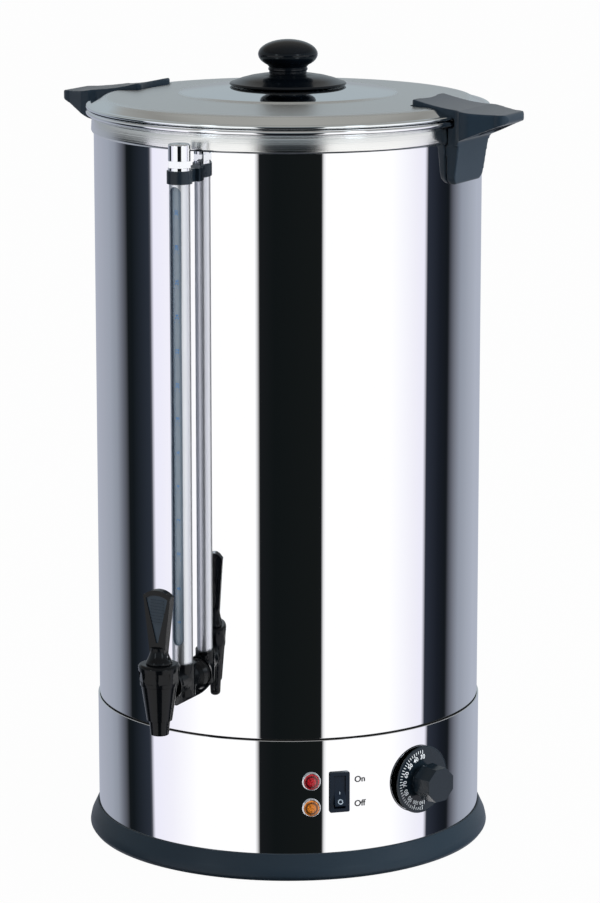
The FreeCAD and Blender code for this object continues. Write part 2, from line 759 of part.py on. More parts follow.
def build_lid():
    lid = new_body("lid_panel")
    thick = s.lid_thickness
    seat = s.rim_height + s.lid_seat_gap
    lip_centre = seat + s.lid_lip_rise + s.lid_lip_roll - 0.3
    lip_out = s.tank_radius + s.rim_reach
    step = s.ring_step
    skirt = s.tank_radius - s.tank_wall - s.lid_skirt_gap
    spin(lid, [
        (0, s.lid_crown_height),
        (s.ring_b_radius - 5, s.ring_b_height + 0.4),
        (s.ring_b_radius, s.ring_b_height),
        (s.ring_b_radius + 2.5, s.ring_b_height - step),
        (s.ring_a_radius - 3.5, s.ring_a_height + 0.6),
        (s.ring_a_radius, s.ring_a_height),
        (s.ring_a_radius + 2.5, s.ring_a_height - 1.6),
        (lip_out - s.lid_lip_roll * 2 - 1.2, lip_centre + 0.5),
        (lip_out - s.lid_lip_roll * 2, lip_centre),
        (lip_out - s.lid_lip_roll, lip_centre + s.lid_lip_roll, -s.lid_lip_roll),
        (lip_out, lip_centre, -s.lid_lip_roll),
        (lip_out - s.lid_lip_roll, lip_centre - s.lid_lip_roll, -s.lid_lip_roll),
        (lip_out - s.lid_lip_roll * 2, seat),
        (skirt + 1.6, seat),
        (skirt, seat - 1.6),
        (skirt, seat - s.lid_skirt_depth),
        (skirt - thick, seat - s.lid_skirt_depth),
        (skirt - thick, seat + 1.2),
        (s.ring_a_radius + 1.5, s.ring_a_height - 1.6 - thick),
        (s.ring_a_radius - 0.5, s.ring_a_height - thick),
        (s.ring_a_radius - 3.8, s.ring_a_height + 0.6 - thick),
        (s.ring_b_radius + 2.2, s.ring_b_height - step - thick),
        (s.ring_b_radius - 0.3, s.ring_b_height - thick),
        (s.ring_b_radius - 5, s.ring_b_height + 0.4 - thick),
        (0, s.lid_crown_height - thick),
    ])
    hole = draw_circle(new_sketch(lid, "XY_Plane", s.lid_crown_height + 5), 0, 0, s.knob_screw + s.screw_clear)
    pocket(lid, hole, 12)
    notch = new_sketch(lid, "XY_Plane", s.lid_crown_height + 5)
    for side in (-1, 1):
        draw(notch, notch_outline(side))
    pocket(lid, notch, 40)

    shield = new_body("knob_shield")
    edge = s.shield_edge_height
    spin(shield, [
        (s.knob_screw + s.screw_clear, s.lid_crown_height),
        (s.shield_hub, s.lid_crown_height),
        (s.shield_hub, s.shield_top - 4.5),
        (s.shield_radius - 8, edge + 1.6, 60.0),
        (s.shield_radius - 2, edge),
        (s.shield_radius, edge + s.shield_edge / 2, s.shield_edge),
        (s.shield_radius - 1.6, edge + s.shield_edge + 0.4, s.shield_edge),
        (s.knob_neck + 1.5, s.shield_top - 0.8, 80.0),
        (s.knob_neck, s.shield_top),
        (s.knob_screw + s.screw_clear, s.shield_top),
    ])
    knob = new_body("lid_knob")
    spin(knob, [
        (0, s.shield_top + s.knob_screw_depth),
        (s.knob_screw + s.screw_clear, s.shield_top + s.knob_screw_depth),
        (s.knob_screw + s.screw_clear, s.shield_top),
        (s.knob_neck - 0.6, s.shield_top),
        (s.knob_neck, s.shield_top + 0.8),
        (s.knob_neck + 0.4, s.knob_neck_height, -12.0),
        (s.knob_head, s.knob_head_height, 17.0),
        (s.knob_top_flat, s.knob_top - 0.5, 17.0),
        (1.0, s.knob_top, 80.0),
        (0, s.knob_top),
    ])
    screw = new_body("knob_screw")
    under = s.lid_crown_height - thick - 0.1
    spin(screw, [
        (0, under - 3.2),
        (s.knob_screw * 1.3, under - 3.2),
        (s.knob_screw * 1.9, under - 1.4, 3.5),
        (s.knob_screw * 1.9, under),
        (s.knob_screw, under),
        (s.knob_screw, s.shield_top + s.knob_screw_depth - 1.5),
        (0, s.shield_top + s.knob_screw_depth - 0.7),
    ])


def notch_outline(side):
    """The cut-away of the lid round a handle's tongue, open at the lip."""
    inner = s.tongue_reach - s.notch_gap
    half = s.tongue_half + 1.4 + s.notch_gap
    far = s.tank_radius + 20
    bend = 5.0
    outline = [
        (inner + bend, half),
        (inner, half - bend, bend),
        (inner, bend - half),
        (inner + bend, -half, bend),
        (far, -half),
        (far, half),
    ]
    if side > 0:
        return outline
    return [(-as_size(c[0]), -as_size(c[1]), *c[2:]) for c in outline]


def build_handle(name, azimuth):
    """A moulded handle: bracket on the tank, sloped grip, and a tongue that reaches over the lid's notch."""
    handle = new_body(name)
    root_out = s.tank_radius + s.bracket_thick
    foot_out = s.tank_radius + s.bracket_foot_thick
    tip_low = s.handle_top_tip - s.handle_tip_thick
    side = new_sketch(handle, "XZ_Plane")
    draw(side, [
        (s.tongue_reach, s.tongue_under + 1.8),
        (s.tongue_reach + 2, s.tongue_under - 0.2, 2.0),
        (s.tongue_reach + 20, s.hook_under - 1),
        (s.tank_radius - 10, s.hook_under - 6),
        (s.tank_radius - 10, s.bracket_foot),
        (foot_out - 1.5, s.bracket_foot),
        (foot_out, s.bracket_foot + 1.5, 1.6),
        (root_out, s.grip_root - 1.5),
        (root_out + 1.5, s.grip_root, -2.2),
        (s.handle_reach - 3.5, tip_low),
        (s.handle_reach, tip_low + 3.5, 3.6),
        (s.handle_reach - 2.5, s.handle_top_tip, 4.5),
        (s.tank_radius + 10, s.handle_top_mid - 0.7, -200.0),
        (s.tongue_reach + 2.8, s.handle_top_inner, -200.0),
        (s.tongue_reach, s.handle_top_inner - 2.8, 2.8),
    ])
    pad(handle, side, s.handle_half * 2, both_ways=True)
    # the seat on the tank, its collar and rolled rim, and the underside of hook and tongue
    fit = s.tank_radius + s.bracket_fit
    collar_fit = s.tank_radius + s.collar_thickness + s.bracket_fit
    collar_low = s.rim_height - s.rim_roll * 2 - s.collar_height - 0.3
    mouth_low = s.rim_height - s.rim_roll * 2 - s.mouth_gap
    spin(handle, [
        (0, s.bracket_foot - 5),
        (fit, s.bracket_foot - 5),
        (fit, collar_low - 0.5),
        (collar_fit, collar_low - 0.5),
        (collar_fit, mouth_low),
        (s.tank_radius + s.rim_reach + s.mouth_gap, mouth_low),
        (s.tank_radius + s.rim_reach + s.mouth_gap, s.hook_under),
        (s.hook_inner, s.hook_under),
        (s.hook_inner - 1.5, s.tongue_under),
        (0, s.tongue_under),
    ], kind="Groove")
    # plan: narrow tongue inside the lip, full width over the bracket, tapering to the tip
    lip_clear = s.tank_radius + s.rim_reach + s.mouth_gap
    widen = root(lip_clear * lip_clear - s.tongue_half * s.tongue_half)
    for sign in (-1, 1):
        trim = new_sketch(handle, "XY_Plane", s.handle_top_inner + 10)
        near = [
            (s.tongue_reach - 5, s.tongue_half - 5),
            (s.tongue_reach, s.tongue_half - 5),
            (s.tongue_reach + 5, s.tongue_half, -5.0),
            (widen - 2, s.tongue_half + 1.0),
            (widen + 6, s.handle_half - 0.6, 9.0),
            (s.tank_radius + 19, s.handle_half - 1.6, -14.0),
            (s.handle_reach - 9, s.handle_tip_half + 1.5),
            (s.handle_reach, s.handle_tip_half - 7.5, -9.0),
            (s.handle_reach + 5, s.handle_tip_half - 7.5),
            (s.handle_reach + 5, s.handle_half + 5),
            (s.tongue_reach - 5, s.handle_half + 5),
        ]
        draw(trim, [(c[0], c[1] * sign, *[bend * sign for bend in c[2:]]) for c in near])
        pocket(handle, trim, s.handle_top_inner + 10 - s.bracket_shoulder)
    # the inner edge is hollowed in plan
    hollow = new_sketch(handle, "XY_Plane", s.handle_top_inner + 10)
    draw(hollow, [
        (s.tongue_reach - 5, -(s.tongue_half - 5)),
        (s.tongue_reach - 5, s.tongue_half - 5),
        (s.tongue_reach, s.tongue_half - 5),
        (s.tongue_reach, -(s.tongue_half - 5), -s.tongue_reach / 2),
    ])
    pocket(handle, hollow, 40)
    # front outline of the bracket: it narrows to a rounded foot
    for sign in (-1, 1):
        chin = new_sketch(handle, "YZ_Plane", s.tank_radius - 20)
        outline = [
            (s.bracket_foot_half, s.bracket_foot - 5),
            (s.handle_half + 5, s.bracket_foot - 5),
            (s.handle_half + 5, s.bracket_shoulder + 0.1),
            (s.bracket_half, s.bracket_shoulder + 0.1),
            (s.bracket_half - 1.2, s.bracket_foot + 7.0),
            (s.bracket_foot_half, s.bracket_foot, -9.0),
        ]
        draw(chin, [(c[0] * sign, c[1], *[bend * sign for bend in c[2:]]) for c in outline])
        cut = pocket(handle, chin, 80)
        cut.Reversed = True
    holes = new_sketch(handle, "YZ_Plane", s.tank_radius - 20)
    for sign in (-1, 1):
        draw_circle(holes, s.handle_screw_spread * sign, s.handle_screw_height, s.screw_shank + 0.1)
    cut = pocket(handle, holes, s.handle_screw_depth + 20 + 1.0)
    cut.Reversed = True
    # the underside of the grip is moulded hollow, with one rib in the middle
    wall = 3.0
    for sign in (-1, 1):
        core = new_sketch(handle, "XY_Plane", s.grip_root - 5)
        draw(core, [
            (root_out + wall + 2, 1.4 * sign),
            (s.handle_reach - 9, 1.4 * sign),
            (s.handle_reach - 9, (s.handle_tip_half - 4) * sign),
            (s.tank_radius + 19, (s.handle_half - 6.5) * sign),
            (root_out + wall + 2, (s.handle_half - 6.5) * sign),
        ])
        cut = pocket(handle, core, s.handle_top_tip - s.grip_root + 5 - wall)
        cut.Reversed = True
    place(handle, azimuth)
    return handle


def build_handles():
    # a handle is drawn towards +X, which is azimuth 90
    build_handle("handle_right", 0)
    build_handle("handle_left", 180)
    screws = new_body("handle_screws", pieces_apart=True)
    inner = s.tank_radius - s.tank_wall
    edge = s.handle_screw_spread + s.screw_head
    seat = root(inner * inner - edge * edge) - 0.2
    made = []
    for sign in (-1, 1):
        head = draw_circle(new_sketch(screws, "YZ_Plane", seat - s.screw_head_height),
                           s.handle_screw_spread * sign, s.handle_screw_height, s.screw_head)
        made.append(pad(screws, head, s.screw_head_height))
        shank = draw_circle(new_sketch(screws, "YZ_Plane", seat),
                            s.handle_screw_spread * sign, s.handle_screw_height, s.screw_shank)
        made.append(pad(screws, shank, s.tank_radius - seat + s.handle_screw_depth))
    pattern = around(screws, made[0], 2)
    pattern.Originals = made


def build_gauge():
    guard = new_body("gauge_guard")
    seat = s.cup_top - s.cup_depth
    draw_tube(guard, seat, s.guard_top, s.guard_radius, s.guard_radius - s.guard_wall)
    window = new_sketch(guard, "XZ_Plane", s.guard_radius + 5)
    middle = (s.slot_bottom + s.slot_top) / 2
    draw(window, slot((0, middle), (s.slot_top - s.slot_bottom - s.slot_width) / 2, s.slot_width / 2))
    pocket(guard, window, s.guard_radius + 5)
    place(guard, 0, s.gauge_reach)

    glass = new_body("gauge_glass")
    draw_tube(glass, s.tee_height + 4, s.glass_top, s.glass_radius, s.glass_radius - s.glass_wall)
    place(glass, 0, s.gauge_reach)

    ring = new_body("gauge_seal")
    draw_tube(ring, s.tee_height + s.seal_rise, seat - 2, s.glass_radius + 1.6, s.glass_radius + 0.05)
    place(ring, 0, s.gauge_reach)

    clamp = new_body("gauge_clamp")
    low = s.clamp_bottom
    top = s.clamp_bottom + s.clamp_height
    draw_tube(clamp, low, top, s.clamp_radius, s.glass_radius + s.glass_fit)
    reach = s.gauge_reach - s.tank_radius
    arm = new_sketch(clamp, "XY_Plane", low)
    draw(arm, rectangle(-s.clamp_arm / 2, s.clamp_arm / 2, s.clamp_radius - 2, reach + 2))
    pad(clamp, arm, s.clamp_height)
    boss = new_sketch(clamp, "XZ_Plane", -(reach + 2))
    draw(boss, rectangle(-s.clamp_boss, s.clamp_boss, low, top))
    pad(clamp, boss, 6)
    socket = draw_circle(new_sketch(clamp, "XY_Plane", s.guard_top + 0.3), 0, 0, s.guard_radius + 0.2)
    pocket(clamp, socket, 10)
    tunnel = draw_circle(new_sketch(clamp, "XZ_Plane", -(s.glass_radius + 6)), 0, low + s.clamp_height / 2,
                         s.screw_shank + 0.1)
    cut = pocket(clamp, tunnel, 30)
    groove_to_tank(clamp, s.bracket_fit, low - 2, top + 2, s.gauge_reach)
    place(clamp, 0, s.gauge_reach)

    screw = new_body("clamp_screw")
    inner = s.tank_radius - s.tank_wall
    spin_outwards(screw, [
        (inner - s.screw_head_height - 0.3, 0),
        (inner - s.screw_head_height - 0.3, s.screw_head),
        (inner - 0.3, s.screw_head),
        (inner - 0.3, s.screw_shank),
        (s.gauge_reach - s.glass_radius - 6.5, s.screw_shank),
        (s.gauge_reach - s.glass_radius - 6.5, 0),
    ])
    place(screw, 0, 0, s.clamp_bottom + s.clamp_height / 2)

    nut = new_body("gauge_nut")
    draw_tube(nut, top, top + s.nut_flange_height, s.nut_flange, s.glass_radius + s.glass_fit)
    hexagon = draw(new_sketch(nut, "XY_Plane", top + s.nut_flange_height), polygon(s.nut_flats, 6))
    pad(nut, hexagon, s.nut_height)
    bore = draw_circle(new_sketch(nut, "XY_Plane", top + s.nut_flange_height + s.nut_height + 1), 0, 0,
                       s.glass_radius + s.glass_fit)
    pocket(nut, bore, s.nut_height + 3)
    place(nut, 0, s.gauge_reach)

    cap = new_body("gauge_cap")
    foot = top + s.nut_flange_height + s.nut_height
    head = foot + s.cap_height
    spin(cap, [
        (1.0, head - 1.5),
        (s.glass_radius + s.glass_fit, head - 1.5),
        (s.glass_radius + s.glass_fit, foot),
        (s.cap_radius, foot),
        (s.cap_radius, head - s.cap_round),
        (s.cap_radius - s.cap_round, head, s.cap_round),
        (1.0, head),
    ])
    place(cap, 0, s.gauge_reach)


def draw_tube(body, low, top, outer, inner):
    """A plain round tube about the body's own Z axis."""
    return spin(body, [(inner, low), (outer, low), (outer, top), (inner, top)])


def groove_to_tank(body, gap, low, top, reach):
    """Cut a body that stands out by its reach back to the round of the tank, less a gap."""
    sketch = new_sketch(body, "XY_Plane", low)
    draw_circle(sketch, 0, reach, s.tank_radius + gap)
    cut = pocket(body, sketch, top - low)
    cut.Reversed = True
    return cut


def build_tee():
    tee = new_body("gauge_tee")
    face = s.tank_radius + s.seal_thick
    far = s.tap_reach - s.bonnet_foot_radius - 0.9
    # barrel from the spigot inside the tank to the socket at the tap
    spin_outwards(tee, [
        (s.spigot_inner, 0),
        (s.spigot_inner, s.spigot_radius),
        (face, s.spigot_radius),
        (face, s.tee_flange),
        (face + s.tee_flange_thick, s.tee_flange - 1.0),
        (face + s.tee_flange_thick + 2, s.tee_radius),
        (far - 6, s.tee_radius),
        (far, s.tee_radius + 1.2, 12.0),
        (far, 0),
    ])
    cup = draw_circle(new_sketch(tee, "XY_Plane", s.cup_bottom - s.tee_height), 0, -s.gauge_reach, s.cup_radius)
    pad(tee, cup, s.cup_top - s.cup_bottom)
    # web with a level foot from the tank to the tap, as high as the flange between the tank and the cup
    web = new_sketch(tee, "YZ_Plane")
    low = s.web_foot - s.tee_height
    near = s.tank_radius + 0.5
    draw(web, [
        (-near, low + 0.6),
        (-(far - 2.5), low),
        (-far, low + 2.5, -4.0),
        (-far, -s.tee_radius + 2),
        (-s.gauge_reach, -s.tee_radius + 2),
        (-s.gauge_reach, s.tee_flange - 1.5),
        (-(face + 0.8), s.tee_flange - 1.5),
        (-(face + 0.8), -(s.tee_flange - 0.2)),
        (-near, -(s.tee_flange - 0.2)),
    ])
    pad(tee, web, s.web_thick, both_ways=True)
    # bores: through the arm, down the cup, and the seats of guard, seal and tap
    spin_outwards(tee, [
        (s.spigot_inner - 1, 0),
        (s.spigot_inner - 1, s.tee_bore),
        (s.gauge_reach + s.cup_radius - 1, s.tee_bore),
        (s.gauge_reach + s.cup_radius - 1, s.inlet_radius + 0.15),
        (far + 1, s.inlet_radius + 0.15),
        (far + 1, 0),
    ], kind="Groove")
    bore = draw_circle(new_sketch(tee, "XY_Plane", s.cup_top - s.tee_height + 1), 0, -s.gauge_reach,
                       s.glass_radius + s.glass_fit)
    pocket(tee, bore, s.cup_top - s.tee_height - 0.5)
    seal = draw_circle(new_sketch(tee, "XY_Plane", s.cup_top - s.tee_height + 1), 0, -s.gauge_reach,
                       s.glass_radius + 1.75)
    pocket(tee, seal, s.cup_top - s.tee_height + 1 - s.seal_rise)
    seat = draw_circle(new_sketch(tee, "XY_Plane", s.cup_top - s.tee_height + 1), 0, -s.gauge_reach,
                       s.guard_radius + 0.15)
    pocket(tee, seat, s.cup_depth + 1 + 0.2)
    place(tee, 0, 0, s.tee_height)

    outer = new_body("tee_outer_seal")
    disc = draw_circle(new_sketch(outer, "XZ_Plane", s.tank_radius - 5), 0, s.tee_height, s.tee_flange - 1)
    draw_circle(disc, 0, s.tee_height, s.spigot_radius + 0.15)
    pad(outer, disc, s.seal_thick + 5)
    groove_to_tank(outer, 0.05, s.tee_height - 20, s.tee_height + 20, 0)

    inner_face = s.tank_radius - s.tank_wall
    inside = new_body("tee_inner_seal")
    disc = draw_circle(new_sketch(inside, "XZ_Plane", inner_face - s.seal_thick - 0.7), 0, s.tee_height,
                       s.tee_flange - 1)
    draw_circle(disc, 0, s.tee_height, s.spigot_radius + 0.15)
    pad(inside, disc, s.seal_thick)

    nut = new_body("tee_back_nut")
    hexagon = new_sketch(nut, "XZ_Plane", inner_face - s.seal_thick - 0.75 - s.back_nut_thick)
    draw(hexagon, polygon(s.back_nut_flats, 6))
    draw_circle(hexagon, 0, 0, s.spigot_radius + 0.15)
    pad(nut, hexagon, s.back_nut_thick)
    place(nut, 0, 0, s.tee_height)


def build_tap():
    tap = new_body("tap_body")
    spin(tap, [
        (s.nozzle_bore, s.nozzle_foot),
        (s.nozzle_tip_radius - 0.8, s.nozzle_foot),
        (s.nozzle_tip_radius, s.nozzle_foot + 0.8, 0.9),
        (s.nozzle_radius, s.tap_cone_foot - 0.6),
        (s.tap_cone_radius, s.tap_cone_foot, -1.6),
        (s.tap_shoulder_radius, s.tap_shoulder),
        (s.tap_neck, s.tap_shoulder),
        (s.tap_neck, s.tap_neck_top),
        (s.chamber_radius, s.tap_neck_top),
        (s.chamber_radius, s.seat_height),
        (s.nozzle_bore, s.seat_height - s.seat_drop),
    ])
    spout = new_sketch(tap, "XZ_Plane", -(s.chamber_radius + 0.4))
    draw_circle(spout, 0, s.tee_height, s.inlet_radius)
    inlet = pad(tap, spout, s.tap_reach - s.gauge_reach - s.cup_radius - s.chamber_radius + 0.2)
    inlet.Reversed = True
    throat = new_sketch(tap, "XZ_Plane", -(s.tap_reach - s.gauge_reach))
    draw_circle(throat, 0, s.tee_height, s.inlet_radius - s.inlet_wall)
    cut = pocket(tap, throat, s.tap_reach - s.gauge_reach)
    cut.Reversed = True
    place(tap, 0, s.tap_reach)

    bonnet = new_body("tap_bonnet")
    top = s.bonnet_top
    under = s.bonnet_top - s.bonnet_plate
    spin(bonnet, [
        (s.stem_radius + s.stem_fit, top),
        (s.stem_radius + s.stem_fit, under),
        (s.tap_neck + 0.15, under),
        (s.tap_neck + 0.15, s.tap_shoulder + 0.3),
        (s.bonnet_foot_radius, s.tap_shoulder + 0.3),
        (s.bonnet_radius, top - s.bonnet_round),
        (s.bonnet_radius - s.bonnet_round, top, s.bonnet_round),
    ])
    # shallow grip panels all round
    panel = new_sketch(bonnet, "XZ_Plane", s.bonnet_radius + 2)
    middle = (s.tap_shoulder + 0.3 + top - s.bonnet_round) / 2
    width = s.bonnet_panel_width / 2
    height = s.bonnet_panel_height / 2
    draw(panel, rectangle(-width, width, middle - height, middle + height))
    around(bonnet, pocket(bonnet, panel, s.bonnet_radius + 2 - s.bonnet_panel_floor), s.bonnet_panels)
    place(bonnet, 0, s.tap_reach)

    stem = new_body("tap_stem")
    seal_top = s.seat_height + s.cup_seal_height
    spin(stem, [
        (0, s.seat_height + 1.5),
        (s.stem_radius - 0.8, s.seat_height + 1.5),
        (s.stem_radius - 0.8, seal_top),
        (s.stem_radius, seal_top),
        (s.stem_radius, s.pin_height - 2.5),
        (0, s.pin_height - 2.5),
    ])
    tang = new_sketch(stem, "YZ_Plane")
    draw(tang, [
        (s.stem_radius - 0.2, s.pin_height - 3.2),
        (s.stem_radius - 0.2, s.pin_height),
        (0, s.pin_height + s.stem_radius - 0.2, s.stem_radius - 0.2),
        (0.2 - s.stem_radius, s.pin_height, s.stem_radius - 0.2),
        (0.2 - s.stem_radius, s.pin_height - 3.2),
    ])
    pad(stem, tang, s.stem_tang, both_ways=True)
    eye = draw_circle(new_sketch(stem, "YZ_Plane", 10), 0, s.pin_height, s.pin_radius + s.pin_press)
    pocket(stem, eye, 20)
    place(stem, 0, s.tap_reach)

    cup = new_body("seat_cup")
    spin(cup, [
        (0, s.seat_height - 1.2),
        (s.nozzle_bore - 1.0, s.seat_height - 1.2),
        (s.cup_seal_radius, s.seat_height + 0.9),
        (s.cup_seal_radius, s.seat_height + 2.0),
        (s.stem_radius + 1.4, seal_top - 1.0),
        (s.stem_radius + 0.6, seal_top),
        (s.stem_radius - 0.75, seal_top),
        (s.stem_radius - 0.75, s.seat_height + 1.45),
        (0, s.seat_height + 1.45),
    ])
    place(cup, 0, s.tap_reach)

    build_lever()


def build_lever():
    """Fan paddle on a bell whose foot rolls on the bonnet and lifts the stem by its pin."""
    lever = new_body("tap_lever")
    foot = s.bonnet_top + s.lever_gap
    spin(lever, [
        (0, foot),
        (s.bell_radius, foot),
        (s.bell_radius - 0.3, foot + 1.6),
        (s.bell_neck, s.bell_top, -24.0),
        (0, s.bell_top),
    ])
    fan = new_sketch(lever, "XZ_Plane")
    draw(fan, [
        (s.bell_neck, s.bell_top - 5),
        (s.paddle_half, s.paddle_shoulder - 1.0),
        (s.paddle_half - 1.0, s.paddle_shoulder + 0.6, 1.1),
        (1.0 - s.paddle_half, s.paddle_shoulder + 0.6, 16.5),
        (-s.paddle_half, s.paddle_shoulder - 1.0, 1.1),
        (-s.bell_neck, s.bell_top - 5),
    ])
    pad(lever, fan, s.paddle_thick, both_ways=True)
    face = s.paddle_thick / 2
    edge = s.paddle_border
    recess = new_sketch(lever, "XZ_Plane", face + 2)
    draw(recess, [
        (0.8, s.bell_top + 4),
        (s.paddle_half - edge, s.paddle_shoulder - edge),
        (edge - s.paddle_half, s.paddle_shoulder - edge, 18.0),
        (-0.8, s.bell_top + 4),
    ])
    pocket(lever, recess, 2 + s.paddle_recess)
    bar = new_sketch(lever, "XZ_Plane", face - s.paddle_recess)
    top = s.paddle_shoulder - edge - 1.0
    draw(bar, rectangle(-s.rib_half, s.rib_half, top - s.rib_height, top))
    rib = pad(lever, bar, s.rib_proud)
    rows = lever.newObject("PartDesign::LinearPattern", "lever_ribs")
    rows.Originals = [rib]
    rows.Direction = (origin_part(lever, "Z_Axis"), [""])
    rows.Reversed = True
    bind(rows, "Length", s.rib_pitch * (s.rib_count - 1))
    set_count(rows, s.rib_count)
    lever.Tip = rows
    slit = new_sketch(lever, "YZ_Plane", s.bell_slot / 2)
    draw(slit, [
        (-s.bell_slot_half, foot - 1),
        (s.bell_slot_half, foot - 1),
        (s.stem_radius + 1.2, s.pin_height + s.stem_radius + 1.2),
        (-(s.stem_radius + 1.2), s.pin_height + s.stem_radius + 1.2),
    ])
    pocket(lever, slit, s.bell_slot)
    eye = draw_circle(new_sketch(lever, "YZ_Plane", 20), 0, s.pin_height, s.pin_radius + s.pin_fit)
    pocket(lever, eye, 40)
    place(lever, 0, s.tap_reach)

    pin = new_body("lever_pin")
    rod = draw_circle(new_sketch(pin, "YZ_Plane"), 0, s.pin_height, s.pin_radius)
    pad(pin, rod, s.bell_neck * 2 + 2, both_ways=True)
    place(pin, 0, s.tap_reach)


def build_lamp(name, height):
    """An indicator lamp: bright bezel with its barrel, and a domed lens."""
    wall = s.skirt_radius + 0.1
    bezel = new_body(name + "_bezel")
    spin_outwards(bezel, [
        (wall, s.lamp_barrel),
        (wall, s.lamp_bezel),
        (wall + 0.6, s.lamp_bezel),
        (wall + s.lamp_bezel_proud, s.lamp_bezel - 0.9, 2.0),
        (wall + s.lamp_bezel_proud, s.lamp_lens + 0.1),
        (wall + 0.6, s.lamp_lens + 0.1),
        (wall + 0.6, s.lamp_barrel - 0.8),
        (wall - s.lamp_depth, s.lamp_barrel - 0.8),
        (wall - s.lamp_depth, s.lamp_barrel),
    ])
    place(bezel, s.lamp_azimuth, 0, height)
    lens = new_body(name + "_lens")
    spin_outwards(lens, [
        (wall + 0.7, 0),
        (wall + 0.7, s.lamp_lens),
        (wall + s.lamp_bezel_proud - 0.4, s.lamp_lens),
        (wall + s.lamp_bezel_proud + s.lamp_lens_proud, 0.4, 16.0),
        (wall + s.lamp_bezel_proud + s.lamp_lens_proud, 0),
    ])
    place(lens, s.lamp_azimuth, 0, height)


def build_switch():
    housing = new_body("switch_housing")
    front = s.skirt_radius + 0.1 + s.switch_frame
    frame = new_sketch(housing, "XZ_Plane", s.skirt_radius + 0.1)
    width = s.switch_half_width
    height = s.switch_half_height
    bend = s.switch_corner
    draw(frame, [
        (width - bend, -height),
        (width, bend - height, bend),
        (width, height - bend),
        (width - bend, height, bend),
        (bend - width, height),
        (-width, height - bend, bend),
        (-width, bend - height),
        (bend - width, -height, bend),
    ])
    pad(housing, frame, s.switch_frame)
    barrel = new_sketch(housing, "XZ_Plane", s.skirt_radius - s.switch_depth)
    draw(barrel, rectangle(-s.switch_barrel_half_width, s.switch_barrel_half_width,
                           -s.switch_barrel_half_height, s.switch_barrel_half_height))
    pad(housing, barrel, s.switch_depth + 0.5)
    well = new_sketch(housing, "XZ_Plane", front + 1)
    room = s.rocker_half_width + s.rocker_gap
    draw(well, rectangle(-room, room, -s.rocker_room, s.rocker_room))
    pocket(housing, well, front + 1 - s.rocker_pivot + s.rocker_hub + 2)
    nub = draw_circle(new_sketch(housing, "YZ_Plane"), -s.rocker_pivot, 0, s.rocker_nub + s.pin_fit)
    pocket(housing, nub, (room + s.rocker_nub_length + 0.2) * 2, both_ways=True)
    place(housing, s.switch_azimuth, 0, s.panel_height)

    rocker = new_body("switch_rocker")
    side = new_sketch(rocker, "YZ_Plane")
    rise = s.rocker_lift + s.rocker_arm * sine(s.rocker_tilt)
    tip = s.rocker_arm * cosine(s.rocker_tilt)
    draw(side, [
        (-s.rocker_lift, 0),
        (-rise, tip),
        (-rise + 1.2, tip + 0.2, 0.7),
        (-0.5, s.rocker_hub + 3.5),
        (s.rocker_hub - 0.6, 2.0),
        (s.rocker_hub, 0, -5.0),
        (s.rocker_hub - 0.6, -2.0, -5.0),
        (-0.5, -(s.rocker_hub + 3.5)),
        (-rise + 1.2, -(tip + 0.2)),
        (-rise, -tip, 0.7),
    ])
    pad(rocker, side, s.rocker_half_width * 2, both_ways=True)
    axle = draw_circle(new_sketch(rocker, "YZ_Plane"), 0, 0, s.rocker_nub)
    pad(rocker, axle, (s.rocker_half_width + s.rocker_gap + s.rocker_nub_length) * 2, both_ways=True)
    place(rocker, s.switch_azimuth, s.rocker_pivot, s.panel_height, -s.rocker_tilt)

    blades = new_body("switch_terminals", pieces_apart=True)
    for level in (-1, 0, 1):
        blade = new_sketch(blades, "XZ_Plane", s.skirt_radius - s.switch_depth - 8.0)
        draw(blade, rectangle(-3.15, 3.15, level * 8.0 - 0.4, level * 8.0 + 0.4))
        pad(blades, blade, 8.0)
    place(blades, s.switch_azimuth, 0, s.panel_height)


